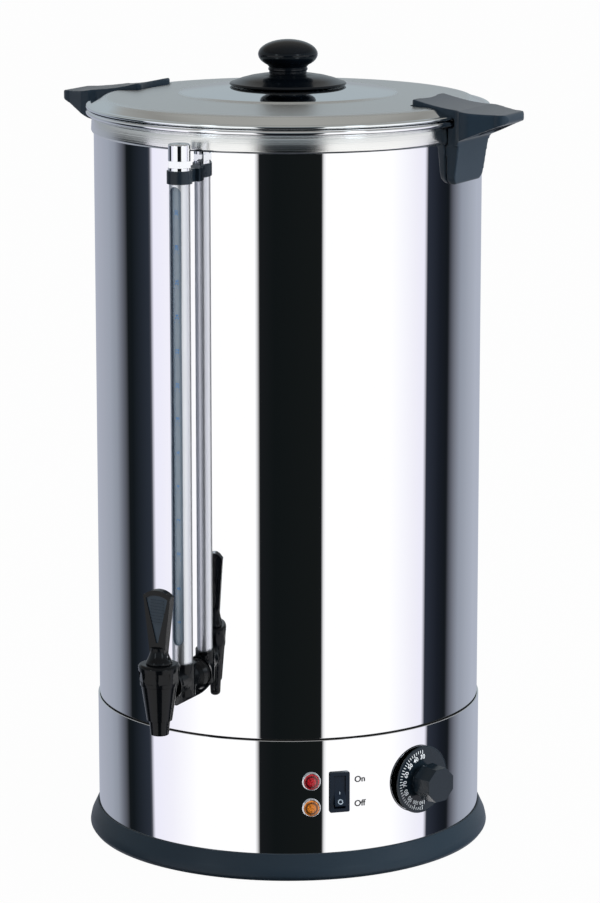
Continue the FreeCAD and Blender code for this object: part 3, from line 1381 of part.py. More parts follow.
def build_dial():
    dial = new_body("thermostat_knob")
    back = s.skirt_radius + s.dial_gap
    face = back + s.dial_thick
    spin_outwards(dial, [
        (back, 0),
        (back, s.dial_radius - 0.6),
        (back + 0.6, s.dial_radius),
        (face - s.dial_bevel, s.dial_radius),
        (face, s.dial_radius - s.dial_bevel * 2.5),
        (face, 0),
    ])
    neck = draw_circle(new_sketch(dial, "XZ_Plane", face - 0.2), 0, 0, s.grip_neck_radius)
    pad(dial, neck, s.grip_neck + 0.4)
    foot = draw(new_sketch(dial, "XZ_Plane", face + s.grip_neck), polygon(s.grip_flats, 8, 22.5))
    crown = draw(new_sketch(dial, "XZ_Plane", face + s.grip_length), polygon(s.grip_front_flats, 8, 22.5))
    grip = dial.newObject("PartDesign::AdditiveLoft", "grip")
    grip.Profile = (foot, [""])
    grip.Sections = [(crown, [""])]
    bore = draw_circle(new_sketch(dial, "XZ_Plane", back - 2), 0, 0, s.spindle_radius + 0.1)
    cut = pocket(dial, bore, s.dial_thick + s.grip_length * 0.7)
    cut.Reversed = True
    place(dial, s.dial_azimuth, 0, s.dial_height)

    spindle = new_body("thermostat_spindle")
    inner = s.skirt_radius - s.skirt_wall - s.thermostat_gap
    rod = draw_circle(new_sketch(spindle, "XZ_Plane", inner - 6), 0, 0, s.spindle_radius)
    pad(spindle, rod, face + s.grip_length * 0.5 - inner + 6)
    place(spindle, s.dial_azimuth, 0, s.dial_height)

    case = new_body("thermostat_body")
    half = s.thermostat_half
    block = draw(new_sketch(case, "XZ_Plane", inner - 2.5 - s.thermostat_depth), rectangle(-half, half, -half, half))
    pad(case, block, s.thermostat_depth)
    plate = new_sketch(case, "XZ_Plane", inner - 2.5)
    draw(plate, rectangle(-6, 6, -half, half))
    pad(case, plate, 2.0)
    bush = draw_circle(new_sketch(case, "XZ_Plane", inner - 2.5), 0, 0, s.bush_radius)
    pad(case, bush, back - 0.6 - inner + 2.5)
    bore = draw_circle(new_sketch(case, "XZ_Plane", back + 1), 0, 0, s.spindle_radius + s.spindle_fit)
    pocket(case, bore, back + 1 - inner + 7)
    taps = new_sketch(case, "XZ_Plane", back + 1)
    for side in (-1, 1):
        draw_circle(taps, 0, s.thermostat_screw_spread * side, s.screw_shank + 0.05)
    pocket(case, taps, back + 1 - inner + 6.5)
    place(case, s.dial_azimuth, 0, s.dial_height)

    screws = new_body("thermostat_screws", pieces_apart=True)
    for side in (-1, 1):
        shank = new_sketch(screws, "XZ_Plane", inner - 5.5)
        draw_circle(shank, 0, s.thermostat_screw_spread * side, s.screw_shank)
        pad(screws, shank, s.skirt_radius + 0.1 - inner + 5.5)
        head = new_sketch(screws, "XZ_Plane", s.skirt_radius + 0.1)
        draw_circle(head, 0, s.thermostat_screw_spread * side, s.screw_head)
        pad(screws, head, s.screw_head_height - 0.4)
    place(screws, s.dial_azimuth, 0, s.dial_height)


def build_heater():
    under = s.floor_height - s.floor_thickness - 0.1
    low = under - s.heater_thick
    plate = new_body("heater_plate")
    disc = draw_circle(new_sketch(plate, "XY_Plane", low), 0, 0, s.heater_radius)
    draw_circle(disc, 0, 0, s.stud_radius + 0.3)
    pad(plate, disc, s.heater_thick)

    element = new_body("heating_element")
    level = low - s.element_radius - 0.1
    open_half = 14.0
    spine = new_sketch(element, "XY_Plane", level)
    radius = s.element_circle.value
    circle = Part.Circle(FreeCAD.Vector(), FreeCAD.Vector(0, 0, 1), radius)
    gap = math.asin(open_half / radius)
    spine.addGeometry(Part.ArcOfCircle(circle, math.pi / 2 + gap, math.pi * 2.5 - gap), False)
    tie = spine.addConstraint(Sketcher.Constraint("Radius", 0, radius))
    spine.setExpression(f"Constraints[{tie}]", s.element_circle.text)
    spine.addConstraint(Sketcher.Constraint("Coincident", 0, 3, -1, 1))
    hold(spine, "DistanceX", 0, 1, Size(-open_half, repr(-open_half)))
    hold(spine, "DistanceX", 0, 2, Size(open_half, repr(open_half)))
    section = new_sketch(element, "YZ_Plane")
    draw_circle(section, -s.element_circle, level, s.element_radius)
    ring = element.newObject("PartDesign::AdditivePipe", "element_ring")
    ring.Profile = (section, [""])
    ring.Spine = (spine, [""])
    tails = new_sketch(element, "XY_Plane", level - s.element_tail)
    reach = root(s.element_circle * s.element_circle - open_half * open_half)
    for side in (-1, 1):
        draw_circle(tails, Size(open_half * side, repr(open_half * side)), reach, s.element_radius - 0.2)
    pad(element, tails, s.element_tail)

    nut = new_body("heater_nut")
    hexagon = new_sketch(nut, "XY_Plane", low - s.heater_nut_height)
    draw(hexagon, polygon(s.heater_nut_flats, 6))
    draw_circle(hexagon, 0, 0, s.stud_radius + 0.05)
    pad(nut, hexagon, s.heater_nut_height)

    cutout = new_body("boil_dry_cutout")
    can = new_sketch(cutout, "XY_Plane", low - s.cutout_height)
    draw_circle(can, s.cutout_circle, 0, s.cutout_radius)
    pad(cutout, can, s.cutout_height)
    for side in (-1, 1):
        blade = new_sketch(cutout, "XY_Plane", low - s.cutout_height - 7)
        draw(blade, rectangle(s.cutout_circle - 3, s.cutout_circle + 3, side * 4 - 0.4, side * 4 + 0.4))
        pad(cutout, blade, 7.5)


def build_bulb():
    """The sensing bulb lies under the heater plate, and its capillary runs on to the thermostat and turns down."""
    level = s.floor_height - s.floor_thickness - 0.2 - s.heater_thick - s.bulb_radius
    inner = s.skirt_radius - s.skirt_wall - s.thermostat_gap
    case = inner - 2.5 - s.thermostat_depth / 2
    out = s.element_circle + s.element_radius + s.bulb_radius + 2
    along = root(case * case - out * out)
    above = s.dial_height + s.thermostat_half + 0.1
    bend = 12.0
    bulb = new_body("thermostat_bulb")
    rod = draw_circle(new_sketch(bulb, "XZ_Plane"), out, level, s.bulb_radius)
    pad(bulb, rod, s.bulb_length, both_ways=True)
    path = new_sketch(bulb, "YZ_Plane", out)
    draw(path, [
        (-(s.bulb_length / 2 - 1), level),
        (bend - along, level),
        (-along, level - bend, bend),
        (-along, above),
    ], closed=False)
    section = draw_circle(new_sketch(bulb, "XZ_Plane", s.bulb_length / 2 - 1), out, level, s.capillary_radius)
    tube = bulb.newObject("PartDesign::AdditivePipe", "capillary")
    tube.Profile = (section, [""])
    tube.Spine = (path, [""])
    place(bulb, s.dial_azimuth - azimuth_of(out, along))


def build_inlet():
    gland = new_body("cord_gland")
    wall = s.skirt_radius + 0.2
    nose = wall + s.gland_flange + s.gland_dome
    hexagon = draw(new_sketch(gland, "XZ_Plane", wall), polygon(s.gland_flats, 6))
    pad(gland, hexagon, s.gland_flange)
    spin_outwards(gland, [
        (s.skirt_radius - s.gland_inner, 0),
        (s.skirt_radius - s.gland_inner, s.gland_barrel),
        (wall + s.gland_flange - 0.5, s.gland_barrel),
        (wall + s.gland_flange - 0.5, s.gland_dome_radius),
        (nose - 4, s.gland_dome_radius),
        (nose, s.gland_bore + 1.4, 5.5),
        (nose, 0),
    ])
    bore = draw_circle(new_sketch(gland, "XZ_Plane", nose + 1), 0, 0, s.gland_bore)
    pocket(gland, bore, nose - s.skirt_radius + s.gland_inner + 2)
    place(gland, 180, 0, s.gland_height)

    nut = new_body("gland_nut")
    inner = s.skirt_radius - s.skirt_wall - 0.4
    hexagon = draw(new_sketch(nut, "XZ_Plane", inner - s.gland_nut_thick), polygon(s.gland_flats, 6))
    draw_circle(hexagon, 0, 0, s.gland_barrel + 0.1)
    pad(nut, hexagon, s.gland_nut_thick)
    place(nut, 180, 0, s.gland_height)

    block = new_body("terminal_block")
    floor = s.base_clear + s.base_floor + s.cover_thickness
    base = new_sketch(block, "XY_Plane", floor)
    draw(base, rectangle(-s.block_length / 2, s.block_length / 2, s.block_reach - s.block_width / 2,
                         s.block_reach + s.block_width / 2))
    pad(block, base, s.block_height)
    ways = new_sketch(block, "XZ_Plane", -(s.block_reach + s.block_width))
    for column in (-1, 0, 1):
        draw_circle(ways, s.block_length * 0.3 * column, floor + s.block_height * 0.4, 2.6)
    cut = pocket(block, ways, s.block_width * 3)
    cut.Reversed = True


fill_sheet()
build_tank()
build_skirt()
build_base()
build_lid()
build_handles()
build_gauge()
build_tee()
build_tap()
build_lamp("red_lamp", s.red_lamp_height)
build_lamp("amber_lamp", s.amber_lamp_height)
build_switch()
build_dial()
build_heater()
build_bulb()
build_inlet()
doc.recompute()

bodies = [item for item in doc.Objects if item.TypeId == "PartDesign::Body"]
faults = [item.Name for item in doc.Objects if {"Invalid", "Error"} & set(item.State)]
faults += [item.Label for item in bodies if item.Shape.isNull() or not item.Shape.isValid()]
if faults:
    raise SystemExit("faults: " + ", ".join(faults))

os.makedirs("parts", exist_ok=True)
for item in bodies:
    item.Shape.exportStep(f"parts/{item.Label}.step")
    box = item.Shape.BoundBox
    print(f"{item.Label:20s} solids {len(item.Shape.Solids)} volume {item.Shape.Volume:10.1f}"
          f"  x {box.XMin:7.1f} {box.XMax:7.1f}  y {box.YMin:7.1f} {box.YMax:7.1f}"
          f"  z {box.ZMin:6.1f} {box.ZMax:6.1f}")
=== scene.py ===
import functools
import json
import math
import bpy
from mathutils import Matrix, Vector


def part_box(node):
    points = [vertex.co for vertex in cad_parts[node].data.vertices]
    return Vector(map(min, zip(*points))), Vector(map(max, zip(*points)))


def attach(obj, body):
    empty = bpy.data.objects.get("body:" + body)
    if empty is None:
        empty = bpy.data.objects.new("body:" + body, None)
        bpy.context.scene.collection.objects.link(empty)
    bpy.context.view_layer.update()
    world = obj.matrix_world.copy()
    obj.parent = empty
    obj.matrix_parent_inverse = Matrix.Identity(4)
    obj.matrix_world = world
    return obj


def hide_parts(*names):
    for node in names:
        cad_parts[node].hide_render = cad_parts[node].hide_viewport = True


bl_info = {
    "name": "Hot water urn",
    "version": (1, 0, 0),
    "blender": (4, 5, 0),
    "location": "3D View > Sidebar > Urn",
    "description": "Builds a steel hot water urn with its lid, handles, level gauge, tap and control panel",
    "category": "Object",
}

import bmesh
import bpy
from bpy.types import Operator, Panel, PropertyGroup
from mathutils import Matrix, Vector

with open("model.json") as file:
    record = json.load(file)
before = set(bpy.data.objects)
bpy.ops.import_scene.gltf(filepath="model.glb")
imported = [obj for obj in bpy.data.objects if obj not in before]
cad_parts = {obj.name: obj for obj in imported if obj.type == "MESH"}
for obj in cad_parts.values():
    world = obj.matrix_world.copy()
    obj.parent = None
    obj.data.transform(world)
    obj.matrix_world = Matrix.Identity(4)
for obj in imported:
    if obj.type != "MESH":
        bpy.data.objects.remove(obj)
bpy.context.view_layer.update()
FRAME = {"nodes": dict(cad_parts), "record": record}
NODES = FRAME["nodes"]
SLOT_OF = {row["node"]: row["material_slot"] for row in FRAME["record"]["subparts"]}
MM = 0.001
SAME_POINT = 1e-7
MATH = "ShaderNodeMath"
RANGE = "ShaderNodeMapRange"
MIX = "ShaderNodeMixShader"
INTEGER = "FunctionNodeIntegerMath"
DEGREES_PER_BOW_STEP = 7
DEGREES_PER_CORNER_STEP = 11

# The gauge tube's printed surface, and how far its axis stands before the urn's.
GAUGE_RADIUS = 0.00586
GAUGE_FORWARD = 0.1748
FIGURE_SIZE = 0.0042
PRINT_THICKNESS = 0.00008
PRINT_LIFT = 0.00003

# The front of the dial's disc with its print, and the rocker's pivot, from the urn's axis.
DIAL_FACE = 0.1601 + PRINT_LIFT
ROCKER_PIVOT = 0.1526
ROCKER_LEAN = math.radians(20.0)


# Sizes and colours that a user may change.

def length(name, description, millimetres):
    return bpy.props.FloatProperty(
        name=name, description=description, default=millimetres * MM, min=0.0, unit="LENGTH", precision=4)


def whole(name, description, number):
    return bpy.props.IntProperty(name=name, description=description, default=number, min=1)


def angle(name, description, degrees):
    return bpy.props.FloatProperty(
        name=name, description=description, default=math.radians(degrees), subtype="ANGLE")


def tint(name, description, hex_value):
    return bpy.props.FloatVectorProperty(
        name=name, description=description, default=linear(hex_value), size=4, min=0.0, max=1.0,
        subtype="COLOR")


def linear(hex_value):
    """An sRGB hex colour as linear red, green, blue and alpha."""
    parts = [int(hex_value[i:i + 2], 16) / 255 for i in (1, 3, 5)]
    curve = [c / 12.92 if c <= 0.04045 else ((c + 0.055) / 1.055) ** 2.4 for c in parts]
    return (*curve, 1.0)


class UrnBodySizes(PropertyGroup):
    tank_radius: length("Tank radius", "Outside radius of the steel tank", 155)
    tank_wall: length("Tank wall", "Thickness of the tank's sheet", 0.8)
    rim_height: length("Rim height", "Top of the rolled rim above the table", 593.8)
    rim_reach: length("Rim reach", "How far the rolled rim stands out of the tank", 6.2)
    band_low: length("Band low edge", "Lower edge of the brushed band", 575.5)
    band_high: length("Band high edge", "Upper edge of the brushed band", 588.8)
    skirt_radius: length("Skirt radius", "Outside radius of the control skirt", 156.3)
    skirt_top: length("Skirt top", "Height of the seam between tank and skirt", 114)
    base_radius: length("Base radius", "Widest radius of the black base ring", 163.9)
    base_top: length("Base top", "Height of the base ring's upper edge", 21.7)
    turn_steps: whole("Steps round", "Straight steps in one turn of a turned piece", 288)


class UrnPanelSizes(PropertyGroup):
    lamp_azimuth: angle("Lamp azimuth", "Angle of the two lamps from the tap", 34.7)
    red_height: length("Red lamp height", "Height of the heating lamp's middle", 81)
    amber_height: length("Amber lamp height", "Height of the keep-warm lamp's middle", 59.5)
    switch_azimuth: angle("Switch azimuth", "Angle of the rocker switch from the tap", 42.9)
    switch_height: length("Switch height", "Height of the switch's middle", 71.3)
    word_azimuth: angle("Word azimuth", "Angle of the switch's words from the tap", 49.2)
    word_height: length("Word height", "Size of the switch's words", 7)
    dial_azimuth: angle("Dial azimuth", "Angle of the thermostat dial from the tap", 69.8)
    dial_height: length("Dial height", "Height of the dial's axis", 71.6)
    dial_first: whole("First figure", "Lowest figure on the dial", 30)
    dial_last: whole("Last figure", "Highest figure on the dial", 110)
    dial_step: angle("Angle per ten", "Angle between two figures of the dial", 22.5)
    gauge_first: whole("First mark", "Lowest litre mark on the gauge", 6)
    gauge_marks: whole("Marks", "Number of litre marks", 13)
    gauge_low: length("Lowest mark", "Height of the lowest litre mark", 206.9)
    gauge_pitch: length("Mark spacing", "Height between two litre marks", 26.67)


class UrnColours(PropertyGroup):
    steel: tint("Polished steel", "Colour of the mirror-polished steel", "#f3f3f5")
    band: tint("Brushed band", "Colour of the brushed rim band", "#eeeeec")
    lid: tint("Lid steel", "Colour of the lid", "#eff3f4")
    aluminium: tint("Guard aluminium", "Colour of the gauge's guard tube", "#e9ebf0")
    handle: tint("Handle plastic", "Colour of the handles", "#182733")
    base: tint("Base plastic", "Colour of the base ring", "#1e2a34")
    tap: tint("Tap plastic", "Colour of the tap and tee", "#080a0d")
    red: tint("Red lens", "Colour of the heating lamp", "#c41f2c")
    amber: tint("Amber lens", "Colour of the keep-warm lamp", "#e8872a")
    figure_blue: tint("Gauge blue", "Colour of the gauge's figures", "#2f7fc4")


class UrnStudio(PropertyGroup):
    azimuth: angle("Camera azimuth", "Angle of the camera from the tap, to the right", 28.1)
    distance: length("Camera distance", "Level distance from the urn's axis to the camera", 2945)
    height: length("Camera height", "Height of the camera above the table", 922.6)
    pitch: angle("Camera pitch", "How far the camera looks down", 11.69)
    yaw: angle("Camera yaw", "How far the camera looks to the right of the axis", 0.187)
    lens: bpy.props.FloatProperty(name="Lens", description="Focal length in millimetres", default=147.43)


GROUPS = {
    "urn_body": UrnBodySizes,
    "urn_panel": UrnPanelSizes,
    "urn_colours": UrnColours,
    "urn_studio": UrnStudio,
}


# Materials.

def tuned(thing, settings):
    """Give a thing its settings, and give it back."""
    for name, value in settings.items():
        setattr(thing, name, value)
    return thing


def feed(tree, node, inputs):
    """Set a node's inputs, by name or number, to a value, a socket, or another node's first output."""
    for name, value in inputs.items():
        if isinstance(value, bpy.types.Node):
            value = value.outputs[0]
        if isinstance(value, bpy.types.NodeSocket):
            tree.links.new(value, node.inputs[name])
        else:
            node.inputs[name].default_value = value
    return node


def add(tree, kind, inputs=None, **properties):
    """Add a node with its properties and inputs."""
    return feed(tree, tuned(tree.nodes.new(kind), properties), inputs or {})


def new_material(name, colour, metallic, roughness, **settings):
    """A material with its shader, and the object coordinates that its patterns read."""
    material = bpy.data.materials.new(name)
    material.use_nodes = True
    tree = material.node_tree
    shader = feed(tree, tree.nodes["Principled BSDF"], {
        "Base Color": colour, "Metallic": metallic, "Roughness": roughness,
        **{key.replace("_", " "): value for key, value in settings.items()}})
    return material, tree, shader, add(tree, "ShaderNodeTexCoord").outputs["Object"]


def vary(tree, shader, pattern, low, high):
    """Let a pattern move the surface's roughness between two values."""
    feed(tree, shader, {"Roughness": add(tree, RANGE, {"Value": pattern, "To Min": low, "To Max": high})})


def emboss(tree, shader, pattern, strength, distance=0.0002):
    """Let a pattern raise and sink the surface."""
    feed(tree, shader, {"Normal": add(tree, "ShaderNodeBump", {
        "Height": pattern, "Strength": strength, "Distance": distance})})


def set_tones(ramp, stops):
    """Give a colour ramp its tones, each at its place from 0 to 1: a hex colour, a level, or four numbers."""
    elements = ramp.color_ramp.elements
    elements.remove(elements[1])
    for index, (position, tone) in enumerate(stops):
        element = elements.new(position) if index else elements[0]
        element.position = position
        if isinstance(tone, str):
            tone = linear(tone)
        elif isinstance(tone, (int, float)):
            tone = (tone, tone, tone, 1.0)
        element.color = tone


def grain(tree, place, size):
    """Even noise whose grains are about the given size in metres."""
    return add(tree, "ShaderNodeTexNoise", {"Vector": place, "Scale": 1 / size})


def lines_along(tree, value, spacing):
    """Fine uneven lines across the direction of a value in metres."""
    scaled = add(tree, MATH, {0: value, 1: 1 / spacing}, operation="MULTIPLY")
    return add(tree, "ShaderNodeTexNoise", {"W": scaled, "Scale": 1.0, "Detail": 3.0}, noise_dimensions="1D")


def distance_within(tree, place, axes):
    """Distance from the origin, measured only along the axes given as 1."""
    flat = add(tree, "ShaderNodeVectorMath", {0: place, 1: axes}, operation="MULTIPLY")
    return add(tree, "ShaderNodeVectorMath", {0: flat}, operation="LENGTH").outputs["Value"]


def plain(name, colour, metallic, low, high, size):
    """A plain finish whose roughness wanders between two values, in grains of a size in metres."""
    material, tree, shader, place = new_material(name, colour, metallic, (low + high) / 2)
    vary(tree, shader, grain(tree, place, size), low, high)
    return material


def brushed_steel(colour):
    # Stainless band brushed round the urn, which blurs the studio upwards and downwards.
    # Real lines are 0.1 mm apart and are drawn at 0.8 mm so that they show.
    material, tree, shader, place = new_material("brushed stainless band", colour, 1.0, 0.16)
    height = add(tree, "ShaderNodeSeparateXYZ", {"Vector": place}).outputs["Z"]
    lines = lines_along(tree, height, 0.0008)
    vary(tree, shader, lines, 0.12, 0.2)
    emboss(tree, shader, lines, 0.22)
    return material


def spun_steel(colour):
    # Deep-drawn lid, polished in the middle and on its lip, and satin on the ring between its two creases.
    material, tree, shader, place = new_material("spun stainless lid", colour, 1.0, 0.05)
    reach = 170
    # Distances from the axis in millimetres, and the roughness at each.
    zones = ((84.5, 0.05), (88, 0.34), (142, 0.34), (150, 0.12), (154, 0.05))
    radius = distance_within(tree, place, (1, 1, 0))
    share = add(tree, MATH, {0: radius, 1: reach * MM}, operation="DIVIDE")
    polish = add(tree, "ShaderNodeValToRGB", {"Fac": share})
    set_tones(polish, [(millimetres / reach, level) for millimetres, level in zones])
    rings = lines_along(tree, radius, 0.0011)
    uneven = add(tree, RANGE, {"Value": rings, "To Min": 0.75, "To Max": 1.25})
    feed(tree, shader, {"Roughness": add(tree, MATH, {0: polish, 1: uneven}, operation="MULTIPLY")})
    emboss(tree, shader, rings, 0.005)
    return material


def satin_aluminium(colour):
    # Drawn and satin anodised tube: soft streaks along its length.
    material, tree, shader, place = new_material("satin anodised aluminium", colour, 1.0, 0.4)
    stretched = add(tree, "ShaderNodeVectorMath", {0: place, 1: (1, 1, 0.02)}, operation="MULTIPLY")
    vary(tree, shader, grain(tree, stretched, 0.0006), 0.34, 0.46)
    return material


def moulded(name, colour, roughness, grain_size, strength, gloss=0.35, haze=0.0):
    # Injection-moulded plastic: the tool's texture breaks up the gloss, and a matt one pales at a flat angle.
    material, tree, shader, place = new_material(
        name, colour, 0.0, roughness, IOR=1.5, Specular_IOR_Level=gloss, Sheen_Weight=haze)
    pattern = grain(tree, place, grain_size)
    vary(tree, shader, pattern, roughness * 0.85, roughness * 1.15)
    emboss(tree, shader, pattern, strength)
    return material


def clear_tube():
    # Clear polycarbonate gauge tube, pale blue grey. Its faint blue grey glow is painted light, standing in
    # for the light that its walls scatter.
    material, tree, shader, place = new_material(
        "clear polycarbonate tube", linear("#aab8c4"), 0.0, 0.12, IOR=1.585, Transmission_Weight=0.5,
        Emission_Strength=0.04, Emission_Color=linear("#9fb4c8"))
    vary(tree, shader, grain(tree, place, 0.01), 0.1, 0.16)
    return material


def lamp_lens(name, colour, azimuth, up):
    # Moulded acrylic lens over a bulb: a middle of small prisms, a ring darkened to an eighth of the lens
    # colour, and a coloured rim.
    material, tree, shader, place = new_material(
        name, colour, 0.0, 0.1, IOR=1.49, Coat_Weight=0.6, Coat_Roughness=0.04, Emission_Strength=0.12)
    centred = add(tree, "ShaderNodeMapping", {
        "Vector": place, "Location": (0, 0, up), "Rotation": (0, 0, azimuth)}, vector_type="TEXTURE")
    radius = distance_within(tree, centred, (1, 0, 1))
    share = add(tree, MATH, {0: radius, 1: LENS_RADIUS}, operation="DIVIDE")
    rings = add(tree, "ShaderNodeValToRGB", {"Fac": share})
    dark = (*(part * 0.12 for part in colour[:3]), 1.0)
    set_tones(rings, (
        (0.0, colour), (0.52, colour), (0.6, dark), (0.76, dark), (0.84, colour), (1.0, colour)))
    cells = add(tree, "ShaderNodeTexVoronoi", {"Vector": centred, "Scale": 1 / 0.0012})
    shade = add(tree, "ShaderNodeMix", {0: cells, 6: rings, 7: dark}, data_type="RGBA").outputs[2]
    feed(tree, shader, {"Base Color": shade, "Emission Color": shade})
    emboss(tree, shader, cells, 0.4, 0.0004)
    return material


LENS_RADIUS = 0.0064
INK_SURFACE = (0.0, 0.405, 0.495, 0.001)
PLAIN_FINISHES = {
    # Each slot's common name, colour, metallic, lowest and highest roughness, and grain size in metres.
    # Stainless as it comes from the mill: grey and blurred.
    "plain_steel": ("mill finish stainless", "#b4b5b7", 1.0, 0.28, 0.42, 0.004),
    # Zinc plating: evenly bright, without a clear mirror image.
    "screw_steel": ("zinc plated screw steel", "#b9bbbf", 1.0, 0.24, 0.36, 0.002),
    # Turned brass under chrome: hard bright reflections.
    "bright_trim": ("chrome plated brass", "#eceef2", 1.0, 0.04, 0.09, 0.003),
    # Cast aluminium: pale, with broad soft highlights.
    "heater_aluminium": ("cast aluminium plate", "#b8b9bb", 1.0, 0.36, 0.54, 0.002),
    # Fired ceramic: off-white and half matt.
    "block_plastic": ("ceramic terminal block", "#dcd9cf", 0.0, 0.4, 0.6, 0.002),
    # Moulded rubber: black and almost matt.
    "foot_rubber": ("black rubber foot", "#161718", 0.0, 0.56, 0.84, 0.002),
    # Silicone: milky grey with a soft gloss.
    "seal_rubber": ("silicone seal", "#c9c9c4", 0.0, 0.36, 0.54, 0.002),
    # Stamped brass: warm yellow metal.
    "contact_brass": ("brass contact", "#b08d57", 1.0, 0.24, 0.36, 0.002),
    # Screen-printed inks: thin and matt, a little uneven.
    "white_ink": ("white printed ink", "#e6ebef", *INK_SURFACE),
    "black_ink": ("black printed ink", "#14161a", *INK_SURFACE),
    "grey_ink": ("grey printed ink", "#9aa7b2", *INK_SURFACE),
}
FINISH = {}


def make_finishes():
    colours = bpy.context.scene.urn_colours
    panel = bpy.context.scene.urn_panel
    for slot, (name, colour, *surface) in PLAIN_FINISHES.items():
        FINISH[slot] = plain(name, linear(colour), *surface)
    FINISH.update({
        # 18/8 stainless sheet, buffed to a mirror: clean reflections with the faintest orange peel.
        "polished_steel": plain("polished stainless sheet", colours.steel, 1.0, 0.012, 0.022, 0.03),
        "blue_ink": plain("blue printed ink", colours.figure_blue, *INK_SURFACE),
        "brushed_band": brushed_steel(colours.band),
        "lid_steel": spun_steel(colours.lid),
        "guard_aluminium": satin_aluminium(colours.aluminium),
        "base_plastic": moulded("moulded polypropylene base", colours.base, 0.36, 0.0012, 0.1, 0.2),
        "handle_plastic": moulded("moulded nylon handle", colours.handle, 0.4, 0.0009, 0.12, 0.2, 0.12),
        "knob_plastic": moulded("moulded phenolic knob", linear("#060b11"), 0.16, 0.003, 0.03, 0.25),
        "tap_plastic": moulded("moulded glossy nylon tap", colours.tap, 0.15, 0.003, 0.03, 0.22),
        "clamp_plastic": moulded("moulded nylon clamp", linear("#18222b"), 0.3, 0.001, 0.05, 0.3),
        # Slate colour painted on as the satin sheen of the black lever's sunk panels.
        "lever_plastic": moulded("moulded satin lever panel", linear("#273541"), 0.38, 0.001, 0.08),
        "tee_seal": moulded("black nitrile seal", linear("#0d0f11"), 0.5, 0.002, 0.05),
        "switch_plastic": moulded("moulded switch polyamide", linear("#101a26"), 0.22, 0.001, 0.04, 0.14),
        "dial_plastic": moulded("moulded dial plastic", linear("#131d25"), 0.18, 0.001, 0.05, 0.32),
        "gauge_clear": clear_tube(),
        "red_lens": lamp_lens("red acrylic lens", tuple(colours.red), panel.lamp_azimuth, panel.red_height),
        "amber_lens": lamp_lens("amber acrylic lens", tuple(colours.amber), panel.lamp_azimuth,
                                panel.amber_height),
    })


# Shapes.

def bowed(start, end, radius):
    """Points of an arc after its start, to its end. A positive radius has its centre left of the travel."""
    first = Vector(start)
    last = Vector(end)
    half = (last - first) / 2
    side = Vector((-half.y, half.x)).normalized() * math.sqrt(radius ** 2 - half.length_squared)
    centre = first + half + side * math.copysign(1, radius)
    arm = first - centre
    sweep = arm.angle_signed(last - centre)
    steps = max(2, math.ceil(math.degrees(abs(sweep)) / DEGREES_PER_BOW_STEP))
    return [centre + Matrix.Rotation(-sweep * step / steps, 2) @ arm for step in range(1, steps + 1)]


def rounded(corners):
    """An outline in millimetres as points in metres. A third number on a corner is its rounding radius, and a
    fourth the radius of the arc that leads to it."""
    plain_corners = []
    for corner in corners:
        if len(corner) == 4:
            arc = bowed(plain_corners[-1][:2], corner[:2], corner[3])
            plain_corners.extend(tuple(point) for point in arc)
        else:
            plain_corners.append(corner)
    points = []
    for index, corner in enumerate(plain_corners):
        here = Vector(corner[:2])
        if len(corner) < 3:
            points.append(here * MM)
            continue
        before = Vector(plain_corners[index - 1][:2]) - here
        after = Vector(plain_corners[(index + 1) % len(plain_corners)][:2]) - here
        bend = math.pi - before.angle(after)
        cut = min(corner[2] * math.tan(bend / 2), before.length * 0.499, after.length * 0.499)
        radius = cut / math.tan(bend / 2)
        before.normalize()
        after.normalize()
        centre = here + (before + after).normalized() * (radius / math.cos(bend / 2))
        steps = max(2, math.ceil(math.degrees(bend) / DEGREES_PER_CORNER_STEP))
        first = here + before * cut - centre
        sweep = first.angle_signed(here + after * cut - centre)
        for step in range(steps + 1):
            turn = Matrix.Rotation(-sweep * step / steps, 2)
            points.append((centre + turn @ first) * MM)
    return points


def finish_mesh(mesh, name, sharp=32.0):
    """Name a mesh and shade it smooth, with edges kept sharp from an angle in degrees."""
    mesh.name = name
    for face in mesh.polygons:
        face.use_smooth = True
    mesh.set_sharp_from_angle(angle=math.radians(sharp))
    return mesh


def linked(name, data):
    """A new object in the scene."""
    obj = bpy.data.objects.new(name, data)
    bpy.context.scene.collection.objects.link(obj)
    return obj


def piece(name, mesh, finish, body, stands_for=None):
    """Put a finished mesh in the scene, on its body, with its finish, and hide the CAD node that it stands
    for.
    """
    obj = linked(name, mesh)
    mesh.materials.clear()
    mesh.materials.append(FINISH[finish])
    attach(obj, body)
    if stands_for:
        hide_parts(stands_for)
    return obj


def flattened(holder):
    """The plain mesh of an object with its modifiers, whose holder then goes."""
    bpy.context.view_layer.update()
    graph = bpy.context.evaluated_depsgraph_get()
    mesh = bpy.data.meshes.new_from_object(holder.evaluated_get(graph))
    bpy.data.objects.remove(holder)
    return mesh


def modified(mesh, *steps):
    """A mesh put through modifiers, each given as its type and settings."""
    holder = linked("holder", mesh)
    for kind, settings in steps:
        tuned(holder.modifiers.new(kind.lower(), kind), settings)
    return flattened(holder)


def written(shell, mesh):
    """Write a bmesh to a mesh, or to a new one where a name is given."""
    if isinstance(mesh, str):
        mesh = bpy.data.meshes.new(mesh)
    shell.to_mesh(mesh)
    shell.free()
    return mesh


def new_tree(name, inputs):
    """A geometry tree with a carrier mesh and named inputs, and the identifiers that these are set by."""
    tree = bpy.data.node_groups.new(name, "GeometryNodeTree")
    sockets = {"Carrier": "Geometry", **inputs, "Finish": "Material"}
    keys = {
        label: tree.interface.new_socket(
            name=label, in_out="INPUT", socket_type="NodeSocket" + kind).identifier
        for label, kind in sockets.items()}
    tree.interface.new_socket(name="Form", in_out="OUTPUT", socket_type="NodeSocketGeometry")
    return tree, keys, add(tree, "NodeGroupInput").outputs


def end_tree(tree, form, finish):
    """Make a tree's instances real, give the form its finish and send it out."""
    real = add(tree, "GeometryNodeRealizeInstances", {"Geometry": form})
    painted = add(tree, "GeometryNodeSetMaterial", {"Geometry": real, "Material": finish})
    add(tree, "NodeGroupOutput", {0: painted})


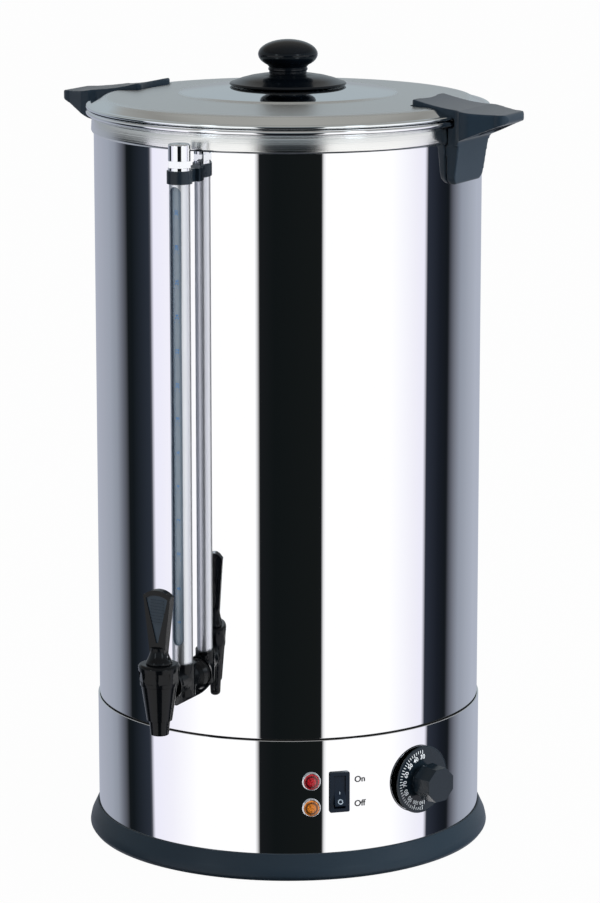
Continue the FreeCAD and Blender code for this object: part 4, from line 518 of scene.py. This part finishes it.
def made_real(carrier, tree, keys, values):
    """Run a geometry tree on a mesh and give the result as a plain mesh."""
    holder = linked("carrier", carrier)
    modifier = holder.modifiers.new("shape", "NODES")
    modifier.node_group = tree
    for label, value in values.items():
        modifier[keys[label]] = value
    return flattened(holder)


@functools.cache
def turned_tree():
    """Turns a closed outline round the Z axis. The outline's points hold radius in X and height in Z."""
    tree, keys, given = new_tree("turned form", {"Steps": "Int"})
    outline = given["Carrier"]
    steps = given["Steps"]
    count = add(tree, "GeometryNodeAttributeDomainSize", {"Geometry": outline}).outputs["Point Count"]
    columns = add(tree, INTEGER, {0: steps, 1: 1}, operation="ADD")
    rows = add(tree, INTEGER, {0: count, 1: 1}, operation="ADD")
    grid = add(tree, "GeometryNodeMeshGrid", {"Vertices X": columns, "Vertices Y": rows})
    index = add(tree, "GeometryNodeInputIndex")
    column = add(tree, INTEGER, {0: index, 1: rows}, operation="DIVIDE_FLOOR")
    row = add(tree, INTEGER, {0: index, 1: rows}, operation="MODULO")
    corner = add(tree, INTEGER, {0: row, 1: count}, operation="MODULO")
    share = add(tree, MATH, {0: column, 1: steps}, operation="DIVIDE")
    turn = add(tree, MATH, {0: share, 1: math.tau}, operation="MULTIPLY")
    sample = add(tree, "GeometryNodeSampleIndex", {
        "Geometry": outline, "Value": add(tree, "GeometryNodeInputPosition"), "Index": corner},
        data_type="FLOAT_VECTOR")
    spot = add(tree, "ShaderNodeVectorRotate", {"Vector": sample, "Angle": turn}, rotation_type="Z_AXIS")
    moved = add(tree, "GeometryNodeSetPosition", {"Geometry": grid, "Position": spot})
    closed = add(tree, "GeometryNodeMergeByDistance", {"Geometry": moved, "Distance": 1e-6})
    end_tree(tree, closed, given["Finish"])
    return tree, keys


def turned(name, corners, finish, steps=None, sharp=32.0):
    """A mesh turned from a closed outline of (radius, height, rounding) in millimetres."""
    points = rounded(corners)
    area = sum(a.x * b.y - b.x * a.y for a, b in zip(points, points[1:] + points[:1]))
    if area < 0:
        points.reverse()
    outline = bpy.data.meshes.new("outline")
    outline.from_pydata([(max(p.x, 0.0), 0, p.y) for p in points], [], [])
    steps = steps or bpy.context.scene.urn_body.turn_steps
    mesh = made_real(outline, *turned_tree(), {"Steps": steps, "Finish": FINISH[finish]})
    shell = bmesh.new()
    shell.from_mesh(mesh)
    bmesh.ops.dissolve_degenerate(shell, dist=SAME_POINT, edges=shell.edges)
    bmesh.ops.recalc_face_normals(shell, faces=shell.faces)
    return finish_mesh(written(shell, mesh), name, sharp)


def turned_piece(name, corners, finish, body, node, steps=None, sharp=32.0, place=None):
    """A turned form that stands for a CAD node, moved to its place where one is given."""
    mesh = turned(name, corners, finish, steps, sharp)
    if place:
        mesh.transform(place)
    return piece(name, mesh, finish, body, stands_for=node)


@functools.cache
def bars_tree():
    """Sets out equal bars from a start, each moved and turned about the Z axis from the last."""
    tree, keys, given = new_tree("row of bars", {
        "Count": "Int", "Start": "Vector", "Offset": "Vector", "Turn": "Float", "Size": "Vector"})
    row = add(tree, "GeometryNodeMeshLine", {
        "Count": given["Count"], "Start Location": given["Start"], "Offset": given["Offset"]})
    index = add(tree, "GeometryNodeInputIndex")
    turn = add(tree, MATH, {0: index, 1: given["Turn"]}, operation="MULTIPLY")
    where = add(tree, "GeometryNodeInputPosition")
    spot = add(tree, "ShaderNodeVectorRotate", {"Vector": where, "Angle": turn}, rotation_type="Z_AXIS")
    fan = add(tree, "GeometryNodeSetPosition", {"Geometry": row, "Position": spot})
    bar = add(tree, "GeometryNodeMeshCube", {"Size": given["Size"]})
    spin = add(tree, "ShaderNodeCombineXYZ", {"Z": turn})
    spread = add(tree, "GeometryNodeInstanceOnPoints", {"Points": fan, "Instance": bar, "Rotation": spin})
    end_tree(tree, spread, given["Finish"])
    return tree, keys


def bars(finish, count, start, size, offset=(0.0, 0.0, 0.0), turn=0.0):
    """A row or fan of thin printed bars as one mesh."""
    return made_real(bpy.data.meshes.new("bars"), *bars_tree(), {
        "Count": count, "Start": start, "Offset": offset, "Turn": turn, "Size": size,
        "Finish": FINISH[finish]})


def outward(azimuth, up=0.0):
    """The frame at an azimuth: X to the right, Y up, Z out, with its origin on the urn's axis."""
    across = Vector((math.cos(azimuth), math.sin(azimuth), 0))
    out = Vector((math.sin(azimuth), -math.cos(azimuth), 0))
    rotation = Matrix((across, (0, 0, 1), out)).transposed().to_4x4()
    return Matrix.Translation((0, 0, up)) @ rotation


def words(text, size, thickness=0.0001, bold=0.0):
    """Letters as a mesh, centred, in the XY plane and facing +Z."""
    curve = tuned(bpy.data.curves.new("letters", "FONT"), {
        "body": text, "size": size, "extrude": thickness / 2, "align_x": "CENTER", "align_y": "CENTER",
        "offset": bold, "resolution_u": 4})
    mesh = flattened(linked("letters", curve))
    bpy.data.curves.remove(curve)
    return mesh


def printed(name, meshes, finish, body, place=None):
    """Marks joined to one piece of print, with the finish given, on its body."""
    shell = bmesh.new()
    for mesh in meshes:
        shell.from_mesh(mesh)
    bmesh.ops.remove_doubles(shell, verts=shell.verts, dist=SAME_POINT)
    mesh = written(shell, name)
    if place:
        mesh.transform(place)
    return piece(name, finish_mesh(mesh, name), finish, body)


def wrap_on(mesh, azimuth, up, radius, forward=0.0):
    """Bend a flat mesh onto an upright cylinder, whose axis may stand forward of the urn's."""
    for vertex in mesh.vertices:
        turn = azimuth + vertex.co.x / radius
        out = radius + vertex.co.z
        vertex.co = (out * math.sin(turn), -forward - out * math.cos(turn), up + vertex.co.y)
    return mesh


def merged(node, level=False):
    """A copy of a CAD node's mesh with its doubled points merged, and where asked its flat faces made one."""
    shell = bmesh.new()
    shell.from_mesh(NODES[node].data)
    bmesh.ops.remove_doubles(shell, verts=shell.verts, dist=2e-6)
    if level:
        bmesh.ops.dissolve_limit(
            shell, angle_limit=math.radians(0.5), verts=shell.verts, edges=shell.edges, delimit=set())
    return written(shell, NODES[node].data.copy())


def eased(name, node, finish, body, bevel=0.5, sharp=30.0):
    """A CAD node's own form with its edges eased, as a moulding or a turning has them. Flat faces shade
    flat, so that only the eased edges beside them turn the light."""
    mesh = merged(node, level=True)
    if bevel:
        mesh = modified(mesh, ("BEVEL", {
            "width": bevel * MM, "segments": 2, "limit_method": "ANGLE", "angle_limit": math.radians(sharp),
            "miter_outer": "MITER_ARC"}))
    mesh = modified(finish_mesh(mesh, name, sharp), ("WEIGHTED_NORMAL", {
        "weight": 100, "keep_sharp": True}))
    mesh.name = name
    return piece(name, mesh, finish, body, node)


def softened(name, node, finish, body, voxel, rounds):
    """A CAD node's form in fine even faces, whose corners are smoothed to the soft edges of a moulding."""
    mesh = modified(
        merged(node), ("REMESH", {"voxel_size": voxel * MM}),
        ("SMOOTH", {"iterations": rounds}))
    return piece(name, finish_mesh(mesh, name, 60.0), finish, body, node)


def cut_by(mesh, cutters):
    """A mesh with the forms of the cutters taken out of it. The cutters then go."""
    result = modified(mesh, *[
        ("BOOLEAN", {"object": cutter, "operation": "DIFFERENCE", "solver": "EXACT"}) for cutter in cutters])
    for cutter in cutters:
        bpy.data.objects.remove(cutter)
    return result


def box_cutter(wide, tall, deep, azimuth, up, out):
    """A block in millimetres that stands through the urn's wall at an azimuth."""
    shell = bmesh.new()
    place = outward(azimuth, up) @ Matrix.Translation((0, 0, out * MM))
    size = Matrix.Diagonal((wide * MM, tall * MM, deep * MM, 1))
    bmesh.ops.create_cube(shell, size=1, matrix=place @ size)
    return linked("cutter", written(shell, "cutter"))


def notch_cutter(side):
    """A block with rounded inner corners that clears a handle's tongue, on the side given as 1 or -1."""
    near = 121.2
    half = 28.9
    outline = rounded([(near, -half, 4.6), (190, -half), (190, half), (near, half, 4.6)])
    shell = bmesh.new()
    floor = [shell.verts.new((p.x * side, p.y * side, 0.57)) for p in outline]
    face = shell.faces.new(floor)
    grown = bmesh.ops.extrude_face_region(shell, geom=[face])
    roof = [item for item in grown["geom"] if isinstance(item, bmesh.types.BMVert)]
    bmesh.ops.translate(shell, verts=roof, vec=(0, 0, 0.06))
    bmesh.ops.recalc_face_normals(shell, faces=shell.faces)
    return linked("notch_cutter", written(shell, "notch_cutter"))


def lamp(colour, azimuth, up):
    """A lamp's thin bright ring and its domed lens, laid with their axis pointing out of the skirt."""
    place = outward(azimuth, up)
    turned_piece(colour + "_bezel", [
        (6, 154), (7.3, 154), (7.3, 157.6, 0.7), (6.9, 158.5, 0.3), (6.4, 158.4, 0.2), (6, 157.4),
    ], "bright_trim", "urn", colour + "_lamp_bezel", 64, place=place)
    turned_piece(colour + "_lens", [
        (0, 147), (5.6, 147), (5.6, 157.2), (6.35, 157.5), (6.35, 158.1, 0.4), (5.6, 158.7, 1),
        (0, 159.35, 0, 26),
    ], colour + "_lens", "urn", colour + "_lamp_lens", 64, place=place)


# Operators, one for each piece or group of like pieces.

class URN_OT_tank(Operator):
    """Turn the tank with its rolled rim and the brushed band below the rim"""
    bl_idname = "urn.tank"
    bl_label = "Tank and rim band"

    def execute(self, context):
        sizes = context.scene.urn_body
        outer = sizes.tank_radius / MM
        inner = outer - sizes.tank_wall / MM
        top = sizes.rim_height / MM
        reach = outer + sizes.rim_reach / MM
        seam = sizes.skirt_top / MM
        tank = turned_piece("tank", [
            (inner, 104), (outer - 0.5, 104), (outer - 0.5, seam, 0.6), (outer, seam + 1.3, 1.5),
            (outer, top - 6, 3), (outer + 2.2, top - 4.4, 2),
            (reach, top - 4, 1.9), (reach, top, 1.9), (inner + 1.5, top, 2.5), (inner, top - 3, 2),
        ], "polished_steel", "urn", "tank_shell")
        # The tank's in-turned foot at the skirt's edge gets the black seal finish as painted shade: the dark
        # shadow line of the seam.
        tank.data.materials.append(FINISH["tee_seal"])
        for face in tank.data.polygons:
            outside = face.center.xy.length > (inner + 0.05) * MM
            if outside and (seam - 1) * MM < face.center.z < (seam + 1.2) * MM:
                face.material_index = 1
        low = sizes.band_low / MM
        high = sizes.band_high / MM
        turned_piece("rim_band", [
            (outer + 0.05, low), (outer + 0.8, low, 0.6), (outer + 2.1, low + 1.7, 1.8),
            (outer + 1.5, high - 1.4, 1), (outer + 0.7, high - 0.2, 0.6), (outer + 0.05, high - 1.2),
        ], "brushed_band", "urn", "rim_collar")
        return {"FINISHED"}


class URN_OT_skirt(Operator):
    """Turn the control skirt and the black base ring"""
    bl_idname = "urn.skirt"
    bl_label = "Skirt and base ring"

    def execute(self, context):
        sizes = context.scene.urn_body
        outer = sizes.skirt_radius / MM
        top = sizes.skirt_top / MM
        tank = sizes.tank_radius / MM
        skirt = turned("skirt", [
            (outer - 0.8, 7), (outer, 7), (outer, top - 0.1, 0.7), (outer - 0.7, top, 0.3),
            (tank - 0.1, top, 0.1), (tank - 0.1, top - 0.8), (outer - 0.8, top - 1.3),
        ], "polished_steel")
        panel = context.scene.urn_panel
        opening = box_cutter(13.2, 29, 10, panel.switch_azimuth, panel.switch_height, outer - 2)
        skirt = finish_mesh(cut_by(skirt, [opening]), "skirt")
        piece("skirt", skirt, "polished_steel", "urn", stands_for="control_skirt")
        wide = sizes.base_radius / MM
        high = sizes.base_top / MM
        turned_piece("base", [
            (138, 1), (wide - 2.6, 1, 1.6), (wide, 4.6, 3), (wide - 1.1, 10.5, 14),
            (wide - 4.4, 17.5, 14), (outer + 1.3, high, 0.7), (outer + 0.26, high),
            (outer + 0.26, 7), (outer - 3, 7), (outer - 3, 5), (138, 5),
        ], "base_plastic", "urn", "base_ring")
        return {"FINISHED"}


class URN_OT_lid(Operator):
    """Turn the lid, cut its notches for the handles, and add its knob and shield"""
    bl_idname = "urn.lid"
    bl_label = "Lid and knob"

    def execute(self, context):
        dome = [(r, 613.1 - r * r / 1152) for r in (14, 24, 36, 48, 60, 70, 78)]
        lid = turned("lid", [
            (0, 607.6), (8.3, 607.6, 0.8), (10.5, 612.9, 1), *dome, (84, 607.1, 4), (89, 605.7, 4),
            (143, 603.1, 5), (147, 602.3, 3), (150.5, 600.4, 5), (157.2, 597.3, 3),
            (158.9, 597.4, 1), (161.2, 597.5, 1.1), (161.2, 595.2, 1.1), (158.9, 594.1, 0.8),
            (154.4, 594.1, 1), (153.3, 592.4, 1), (153.3, 587.1), (152.4, 587.1), (152.4, 595.6, 1),
            (148.6, 599.8, 2), (146.6, 601.4, 2), (142.9, 602.2, 4), (88.8, 604.8, 4),
            (83.8, 606.2, 4), *[(r, z - 0.9) for r, z in reversed(dome)], (11.3, 612, 1),
            (9, 606.7, 0.8), (0, 606.7),
        ], "lid_steel")
        lid = cut_by(lid, [notch_cutter(side) for side in (1, -1)])
        piece("lid", finish_mesh(lid, "lid"), "lid_steel", "lid", stands_for="lid_panel")
        turned_piece("shield", [
            (2.8, 607.65), (7.4, 607.65), (7.4, 613.3), (9, 613.6), (9, 616.9, 3),
            (38.7, 613.6, 0, 60), (44.7, 612), (46.7, 612.9, 0, 1.8), (45.1, 614.2, 0, 1.8),
            (16.1, 620.6, 0, 80), (14.8, 621.4), (2.8, 621.4),
        ], "knob_plastic", "lid", "knob_shield", 160)
        head = [(23.8 * math.cos(math.radians(t)), 636.3 + 11.7 * math.sin(math.radians(t)))
                for t in range(-46, 90, 8)]
        turned_piece("knob", [
            (0, 633.4), (2.8, 633.4), (2.8, 621.4), (14.9, 621.4), (15, 623.4, 0.4), (15.7, 623.9, 0.4),
            (15.7, 625.3, 0.4), (14.9, 625.9, 0.5), *head, (0, 648),
        ], "knob_plastic", "lid", "lid_knob", 160, 50)
        return {"FINISHED"}


class URN_OT_handles(Operator):
    """Soften the edges of the two moulded handles"""
    bl_idname = "urn.handles"
    bl_label = "Handles"

    def execute(self, context):
        for side in ("right", "left"):
            softened("handle_grip_" + side, "handle_" + side, "handle_plastic", "urn", 0.75, 3)
        return {"FINISHED"}


class URN_OT_gauge(Operator):
    """Make the level gauge with its guard tube, clear tube, figures, clamp, nut and cap"""
    bl_idname = "urn.gauge"
    bl_label = "Level gauge"

    def execute(self, context):
        eased("guard_tube", "gauge_guard", "guard_aluminium", "urn", 0, 40)
        eased("clear_tube", "gauge_glass", "gauge_clear", "urn", 0, 40)
        eased("gauge_clamp_form", "gauge_clamp", "clamp_plastic", "urn", 0.4, 30)
        eased("gauge_nut_form", "gauge_nut", "bright_trim", "urn", 0.8, 25)
        eased("gauge_cap_form", "gauge_cap", "bright_trim", "urn", 0, 40)
        panel = context.scene.urn_panel
        lines = bars("blue_ink", panel.gauge_marks, (0.0, panel.gauge_low, 0.0),
                     (FIGURE_SIZE, 0.0005, PRINT_THICKNESS), (0.0, panel.gauge_pitch, 0.0))
        marks = []
        for mark in range(panel.gauge_marks):
            figure = words(str(panel.gauge_first + 2 * mark), FIGURE_SIZE, PRINT_THICKNESS)
            figure.transform(Matrix.Rotation(math.pi / 2, 4, "Z"))
            figure.transform(Matrix.Translation((0.0004, 0.0042, 0)))
            up = panel.gauge_low + mark * panel.gauge_pitch
            marks.append(wrap_on(figure, 0.0, up, GAUGE_RADIUS, GAUGE_FORWARD))
        marks.append(wrap_on(lines, 0.0, 0.0, GAUGE_RADIUS, GAUGE_FORWARD))
        printed("gauge_figures", marks, "blue_ink", "urn")
        return {"FINISHED"}


class URN_OT_tap(Operator):
    """Ease the tee, the tap's cone and bonnet, and the lever"""
    bl_idname = "urn.tap"
    bl_label = "Tap and tee"

    def execute(self, context):
        eased("tee_form", "gauge_tee", "tap_plastic", "urn", 0.4, 35)
        eased("tap_cone", "tap_body", "tap_plastic", "urn", 0.3, 35)
        eased("bonnet_form", "tap_bonnet", "tap_plastic", "urn", 0.3, 35)
        lever = eased("lever_form", "tap_lever", "tap_plastic", "lever", 0.16, 30)
        # The sunk panels on the fan's two faces have the mould's satin texture, and their lighter slate
        # colour is painted sheen on the same black nylon.
        lever.data.materials.append(FINISH["lever_plastic"])
        near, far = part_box("tap_lever")
        middle = near.y / 2 + far.y / 2
        for face in lever.data.polygons:
            depth = abs(face.center.y - middle)
            if abs(face.normal.y) > 0.9 and 0.0020 < depth < 0.0031 and face.center.z > 0.199:
                face.material_index = 1
        return {"FINISHED"}


class URN_OT_panel_fittings(Operator):
    """Make the lamps, the rocker switch and their generic lettering"""
    bl_idname = "urn.panel_fittings"
    bl_label = "Lamps and switch"

    def execute(self, context):
        panel = context.scene.urn_panel
        lamp("red", panel.lamp_azimuth, panel.red_height)
        lamp("amber", panel.lamp_azimuth, panel.amber_height)
        eased("switch_frame", "switch_housing", "switch_plastic", "urn", 0.35, 30)
        eased("rocker_form", "switch_rocker", "switch_plastic", "rocker", 0.25, 30)
        radius = context.scene.urn_body.skirt_radius + PRINT_LIFT
        on_off = []
        for text, up in (("On", 0.0800), ("Off", 0.0602)):
            # Three copies side by side make the strokes as heavy as they should be.
            for shift in (-0.00012, 0.0, 0.00012):
                word = words(text, panel.word_height, bold=0.0001)
                word.transform(Matrix.Translation((shift, 0, 0)))
                on_off.append(wrap_on(word, panel.word_azimuth, up, radius))
        printed("switch_words", on_off, "black_ink", "urn")
        # The marks lie on the rocker's lower face at rest, where Y runs up along the face and Z out of it.
        lower_face = outward(panel.switch_azimuth, panel.switch_height)
        lower_face @= Matrix.Translation((0, 0.00087, ROCKER_PIVOT + 0.00492))
        lower_face @= Matrix.Rotation(-ROCKER_LEAN, 4, "X")
        ring = turned("ring", [(1.4, 0.02), (2.1, 0.02), (2.1, 0.06), (1.4, 0.06)], "grey_ink", 48)
        ring.transform(Matrix.Translation((0, -0.0086, 0)))
        # A frame of four steps, turned a half step and stretched to the bar's width and height.
        bar = turned("bar", [(0.25, 0.02), (1.0, 0.02), (1.0, 0.06), (0.25, 0.06)], "grey_ink", 4)
        stretch = Matrix.Diagonal((0.35 * math.sqrt(2), math.sqrt(2), 1, 1))
        bar.transform(Matrix.Translation((0, -0.0016, 0)) @ stretch @ Matrix.Rotation(math.pi / 4, 4, "Z"))
        printed("rocker_marks", [ring, bar], "grey_ink", "rocker", lower_face)
        return {"FINISHED"}


class URN_OT_dial(Operator):
    """Ease the thermostat knob and print its scale"""
    bl_idname = "urn.dial"
    bl_label = "Thermostat dial"

    def execute(self, context):
        knob = eased("dial_knob", "thermostat_knob", "dial_plastic", "dial", 0.4, 25)
        panel = context.scene.urn_panel
        # The disc's back gets bright chrome as painted light: its mirror image in the skirt shows bright
        # instead of the dark gap beside the disc.
        knob.data.materials.append(FINISH["bright_trim"])
        ahead = outward(panel.dial_azimuth).col[2].to_3d()
        for face in knob.data.polygons:
            if face.normal.dot(ahead) < -0.9:
                face.material_index = 1
        tens = (panel.dial_last - panel.dial_first) // 10
        prints = []
        for step in range(tens + 1):
            number = str(panel.dial_first + 10 * step)
            figure = words(number, 0.0052 if len(number) < 3 else 0.0042, bold=0.00006)
            figure.transform(Matrix.Translation((0, 0.0187, DIAL_FACE)))
            figure.transform(Matrix.Rotation(step * panel.dial_step, 4, "Z"))
            prints.append(figure)
        # Long ticks stand at the figures, and short ones at every quarter between them.
        for every, tall, wide in ((4, 0.0036, 0.0007), (1, 0.0024, 0.0005)):
            prints.append(bars(
                "white_ink", tens * 4 // every + 1, (0.0, 0.0246 - tall / 2, DIAL_FACE),
                (wide, tall, PRINT_THICKNESS), turn=panel.dial_step * every / 4))
        printed("dial_scale", prints, "white_ink", "dial",
                outward(panel.dial_azimuth, panel.dial_height))
        return {"FINISHED"}


class URN_OT_fittings(Operator):
    """Give every CAD node its own finish"""
    bl_idname = "urn.fittings"
    bl_label = "Inner fittings"

    def execute(self, context):
        for name, obj in NODES.items():
            obj.data.materials.clear()
            obj.data.materials.append(FINISH["tee_seal" if name == "tee_outer_seal" else SLOT_OF[name]])
        return {"FINISHED"}


class URN_OT_studio(Operator):
    """Set up the floor, the studio's light and the camera"""
    bl_idname = "urn.studio"
    bl_label = "Studio"

    def execute(self, context):
        make_floor()
        make_world()
        make_lamps()
        make_camera(context.scene.urn_studio)
        context.scene.view_settings.view_transform = "Standard"
        return {"FINISHED"}


def make_floor():
    """A wide white floor. Mirrors see past it to the studio's walls."""
    mesh = bpy.data.meshes.new("studio_floor")
    mesh.from_pydata([(-30, -30, 0), (30, -30, 0), (30, 30, 0), (-30, 30, 0)], [], [(0, 1, 2, 3)])
    floor = linked("studio_floor", mesh)
    material = bpy.data.materials.new("white studio floor")
    material.use_nodes = True
    tree = material.node_tree
    tree.nodes.clear()
    path = add(tree, "ShaderNodeLightPath").outputs
    matt = add(tree, "ShaderNodeBsdfDiffuse", {"Color": linear("#9c9c9c")})
    glow = add(tree, "ShaderNodeEmission", {"Color": WHITE})
    clear = add(tree, "ShaderNodeBsdfTransparent")
    paper = add(tree, MIX, {0: 0.975, 1: matt, 2: glow})
    seen = add(tree, MIX, {0: path["Is Camera Ray"], 1: matt, 2: paper})
    mirror = add(tree, MIX, {0: path["Is Glossy Ray"], 1: seen, 2: clear})
    add(tree, "ShaderNodeOutputMaterial", {"Surface": mirror})
    mesh.materials.append(material)


WHITE = (1, 1, 1, 1)
STUDIO_WALLS = (
    # Azimuth in degrees from the tap, and the tone that a mirror shows there.
    (-180, "#a8aebb"), (-150, "#a6abb9"), (-119, "#a0a5b1"), (-106, "#999fab"), (-97, "#8c929d"),
    (-90, "#666a74"), (-86, "#4a4d54"), (-83, "#14181b"), (-79, "#12171b"), (-62, "#2a303a"),
    (-59.3, "#ebeaf7"), (-45, "#f1f0f8"), (-27, "#ffffff"), (9.3, "#ffffff"), (10.6, "#17191b"),
    (20, "#101415"), (46, "#141717"), (48.2, "#17191b"), (49.5, "#ffffff"), (92, "#ffffff"),
    (102, "#f6f6fb"), (110, "#efeef6"), (117.3, "#eae9f5"), (119.2, "#2a2f3a"), (131, "#191d25"),
    (139, "#13171b"), (142.7, "#51545d"), (147, "#71757f"), (154, "#8f95a1"), (166, "#9ea4b0"),
    (180, "#a8aebb"),
)
STUDIO_FRIEZE = (
    # The same higher up, which from the photograph's height only the rim band and the lip show.
    (-180, "#a0a6ac"), (-120, "#94999d"), (-60, "#a9adb0"), (-30, "#e8e9ea"), (6, "#ffffff"), (14, "#20262c"),
    (44, "#20262c"), (52, "#ffffff"), (100, "#f4f4f6"), (140, "#c9ccd2"), (180, "#a0a6ac"),
)
STUDIO_CEILING = (
    # Upward part of a mirror's direction, and the tone that it shows there.
    (0.0, "#a2abb0"), (0.34, "#a4adb3"), (0.46, "#969694"), (0.62, "#8a8884"), (0.76, "#9c9a96"),
    (1.0, "#9c9a96"),
)
STUDIO_TUBES = (
    # Azimuth in degrees, and the share of two tall strip lights that only gloss on dark plastic shows.
    (-24, 0), (-21, 1), (-15, 1), (-12, 0), (60, 0), (63, 1), (71, 1), (74, 0),
)
TUBE_HEIGHTS = (
    # Upward part of the direction to the strip lights, and their share there.
    (0.14, 0), (0.17, 1), (0.42, 1), (0.46, 0),
)
TUBE_BOOST = 6.0


def make_world():
    """White behind the urn, and for mirrors the tall light and dark walls of a product studio."""
    world = bpy.data.worlds.new("studio")
    bpy.context.scene.world = world
    world.use_nodes = True
    tree = world.node_tree
    tree.nodes.clear()
    view = add(tree, "ShaderNodeTexCoord").outputs["Generated"]
    across, along, up = add(tree, "ShaderNodeSeparateXYZ", {0: view}).outputs
    ahead = add(tree, MATH, {0: along, 1: -1.0}, operation="MULTIPLY")
    azimuth = add(tree, MATH, {0: across, 1: ahead}, operation="ARCTAN2")
    turns = add(tree, MATH, {0: azimuth, 1: math.tau}, operation="DIVIDE")
    share = add(tree, MATH, {0: turns, 1: 0.5}, operation="ADD")
    ramps = [add(tree, "ShaderNodeValToRGB", {"Fac": factor}) for factor in (share, share, share, up, up)]
    for ramp, stops in zip(ramps, (STUDIO_WALLS, STUDIO_FRIEZE, STUDIO_TUBES)):
        set_tones(ramp, [(degrees / 360 + 0.5, tone) for degrees, tone in stops])
    for ramp, stops in zip(ramps[3:], (STUDIO_CEILING, TUBE_HEIGHTS)):
        set_tones(ramp, stops)
    walls, frieze, tubes, ceiling, tube_share = ramps
    # Each tone takes over from the last between two heights. The last stands straight below, where it is
    # dark and only edges that turn down show it.
    room = walls
    for blend, low, high, tone in (
            ("LINEAR", -0.085, -0.045, frieze), ("SMOOTHSTEP", 0.02, 0.14, ceiling),
            ("SMOOTHSTEP", -0.76, -0.9, linear("#34383e"))):
        passed = add(tree, RANGE, {"Value": up, "From Min": low, "From Max": high},
                     interpolation_type=blend)
        room = add(tree, "ShaderNodeMix", {0: passed, 6: room, 7: tone}, data_type="RGBA").outputs[2]
    strips = add(tree, MATH, {0: tubes, 1: tube_share}, operation="MULTIPLY")
    boost = add(tree, MATH, {0: strips, 1: TUBE_BOOST}, operation="MULTIPLY")
    strength = add(tree, MATH, {0: boost, 1: 1.12}, operation="ADD")
    mirrored = add(tree, "ShaderNodeBackground", {"Color": room, "Strength": strength})
    overhead = add(tree, RANGE, {
        "Value": up, "From Min": 0.15, "From Max": 0.9, "To Min": 0.2, "To Max": 1.7},
        interpolation_type="SMOOTHSTEP")
    soft = add(tree, "ShaderNodeBackground", {"Color": linear("#f4f6fa"), "Strength": overhead})
    shown = add(tree, "ShaderNodeBackground", {"Color": WHITE})
    path = add(tree, "ShaderNodeLightPath").outputs
    lighting = add(tree, MIX, {0: path["Is Diffuse Ray"], 1: mirrored, 2: soft})
    straight = add(tree, MATH, {0: path["Is Camera Ray"], 1: path["Is Transmission Ray"]},
                   operation="MAXIMUM")
    final = add(tree, MIX, {0: straight, 1: lighting, 2: shown})
    add(tree, "ShaderNodeOutputWorld", {"Surface": final})


def make_lamps():
    """Two large soft boxes, which mirrors don't show."""
    for name, place, power, size in (
            ("key_softbox", (3.2, 0.6, 1.2), 120.0, 1.6), ("fill_softbox", (-0.6, -2.9, 1.9), 10.0, 1.8)):
        light = tuned(bpy.data.lights.new(name, "AREA"), {"energy": power, "size": size})
        softbox = linked(name, light)
        softbox.location = place
        aim = Vector((0, 0, 0.35)) - Vector(place)
        softbox.rotation_euler = aim.to_track_quat("-Z", "Y").to_euler()
        softbox.visible_glossy = False


def make_camera(studio):
    """The camera at the photograph's viewing angle."""
    camera = linked("studio_camera", tuned(
        bpy.data.cameras.new("studio_camera"), {"lens": studio.lens, "clip_end": 100}))
    camera.matrix_world = (
        outward(studio.azimuth, studio.height) @ Matrix.Translation((0, 0, studio.distance))
        @ Matrix.Rotation(-studio.yaw, 4, "Y") @ Matrix.Rotation(-studio.pitch, 4, "X"))
    bpy.context.scene.camera = camera


OPERATORS = (
    URN_OT_studio, URN_OT_fittings, URN_OT_tank, URN_OT_skirt, URN_OT_lid, URN_OT_handles, URN_OT_gauge,
    URN_OT_tap, URN_OT_panel_fittings, URN_OT_dial,
)


class URN_PT_sidebar(Panel):
    """Sizes, colours and pieces of the urn"""
    bl_idname = "URN_PT_sidebar"
    bl_label = "Hot water urn"
    bl_space_type = "VIEW_3D"
    bl_region_type = "UI"
    bl_category = "Urn"

    def draw(self, context):
        for group, kind in GROUPS.items():
            box = self.layout.box()
            for name in kind.__annotations__:
                box.prop(getattr(context.scene, group), name)
        for operator in OPERATORS:
            self.layout.operator(operator.bl_idname)


def register():
    for kind in (*GROUPS.values(), *OPERATORS, URN_PT_sidebar):
        bpy.utils.register_class(kind)
    for name, kind in GROUPS.items():
        setattr(bpy.types.Scene, name, bpy.props.PointerProperty(type=kind))


def unregister():
    for name in GROUPS:
        delattr(bpy.types.Scene, name)
    for kind in reversed((*GROUPS.values(), *OPERATORS, URN_PT_sidebar)):
        bpy.utils.unregister_class(kind)


def main():
    register()
    make_finishes()
    for operator in OPERATORS:
        group, name = operator.bl_idname.split(".")
        getattr(getattr(bpy.ops, group), name)()


if __name__ == "__main__":
    main()
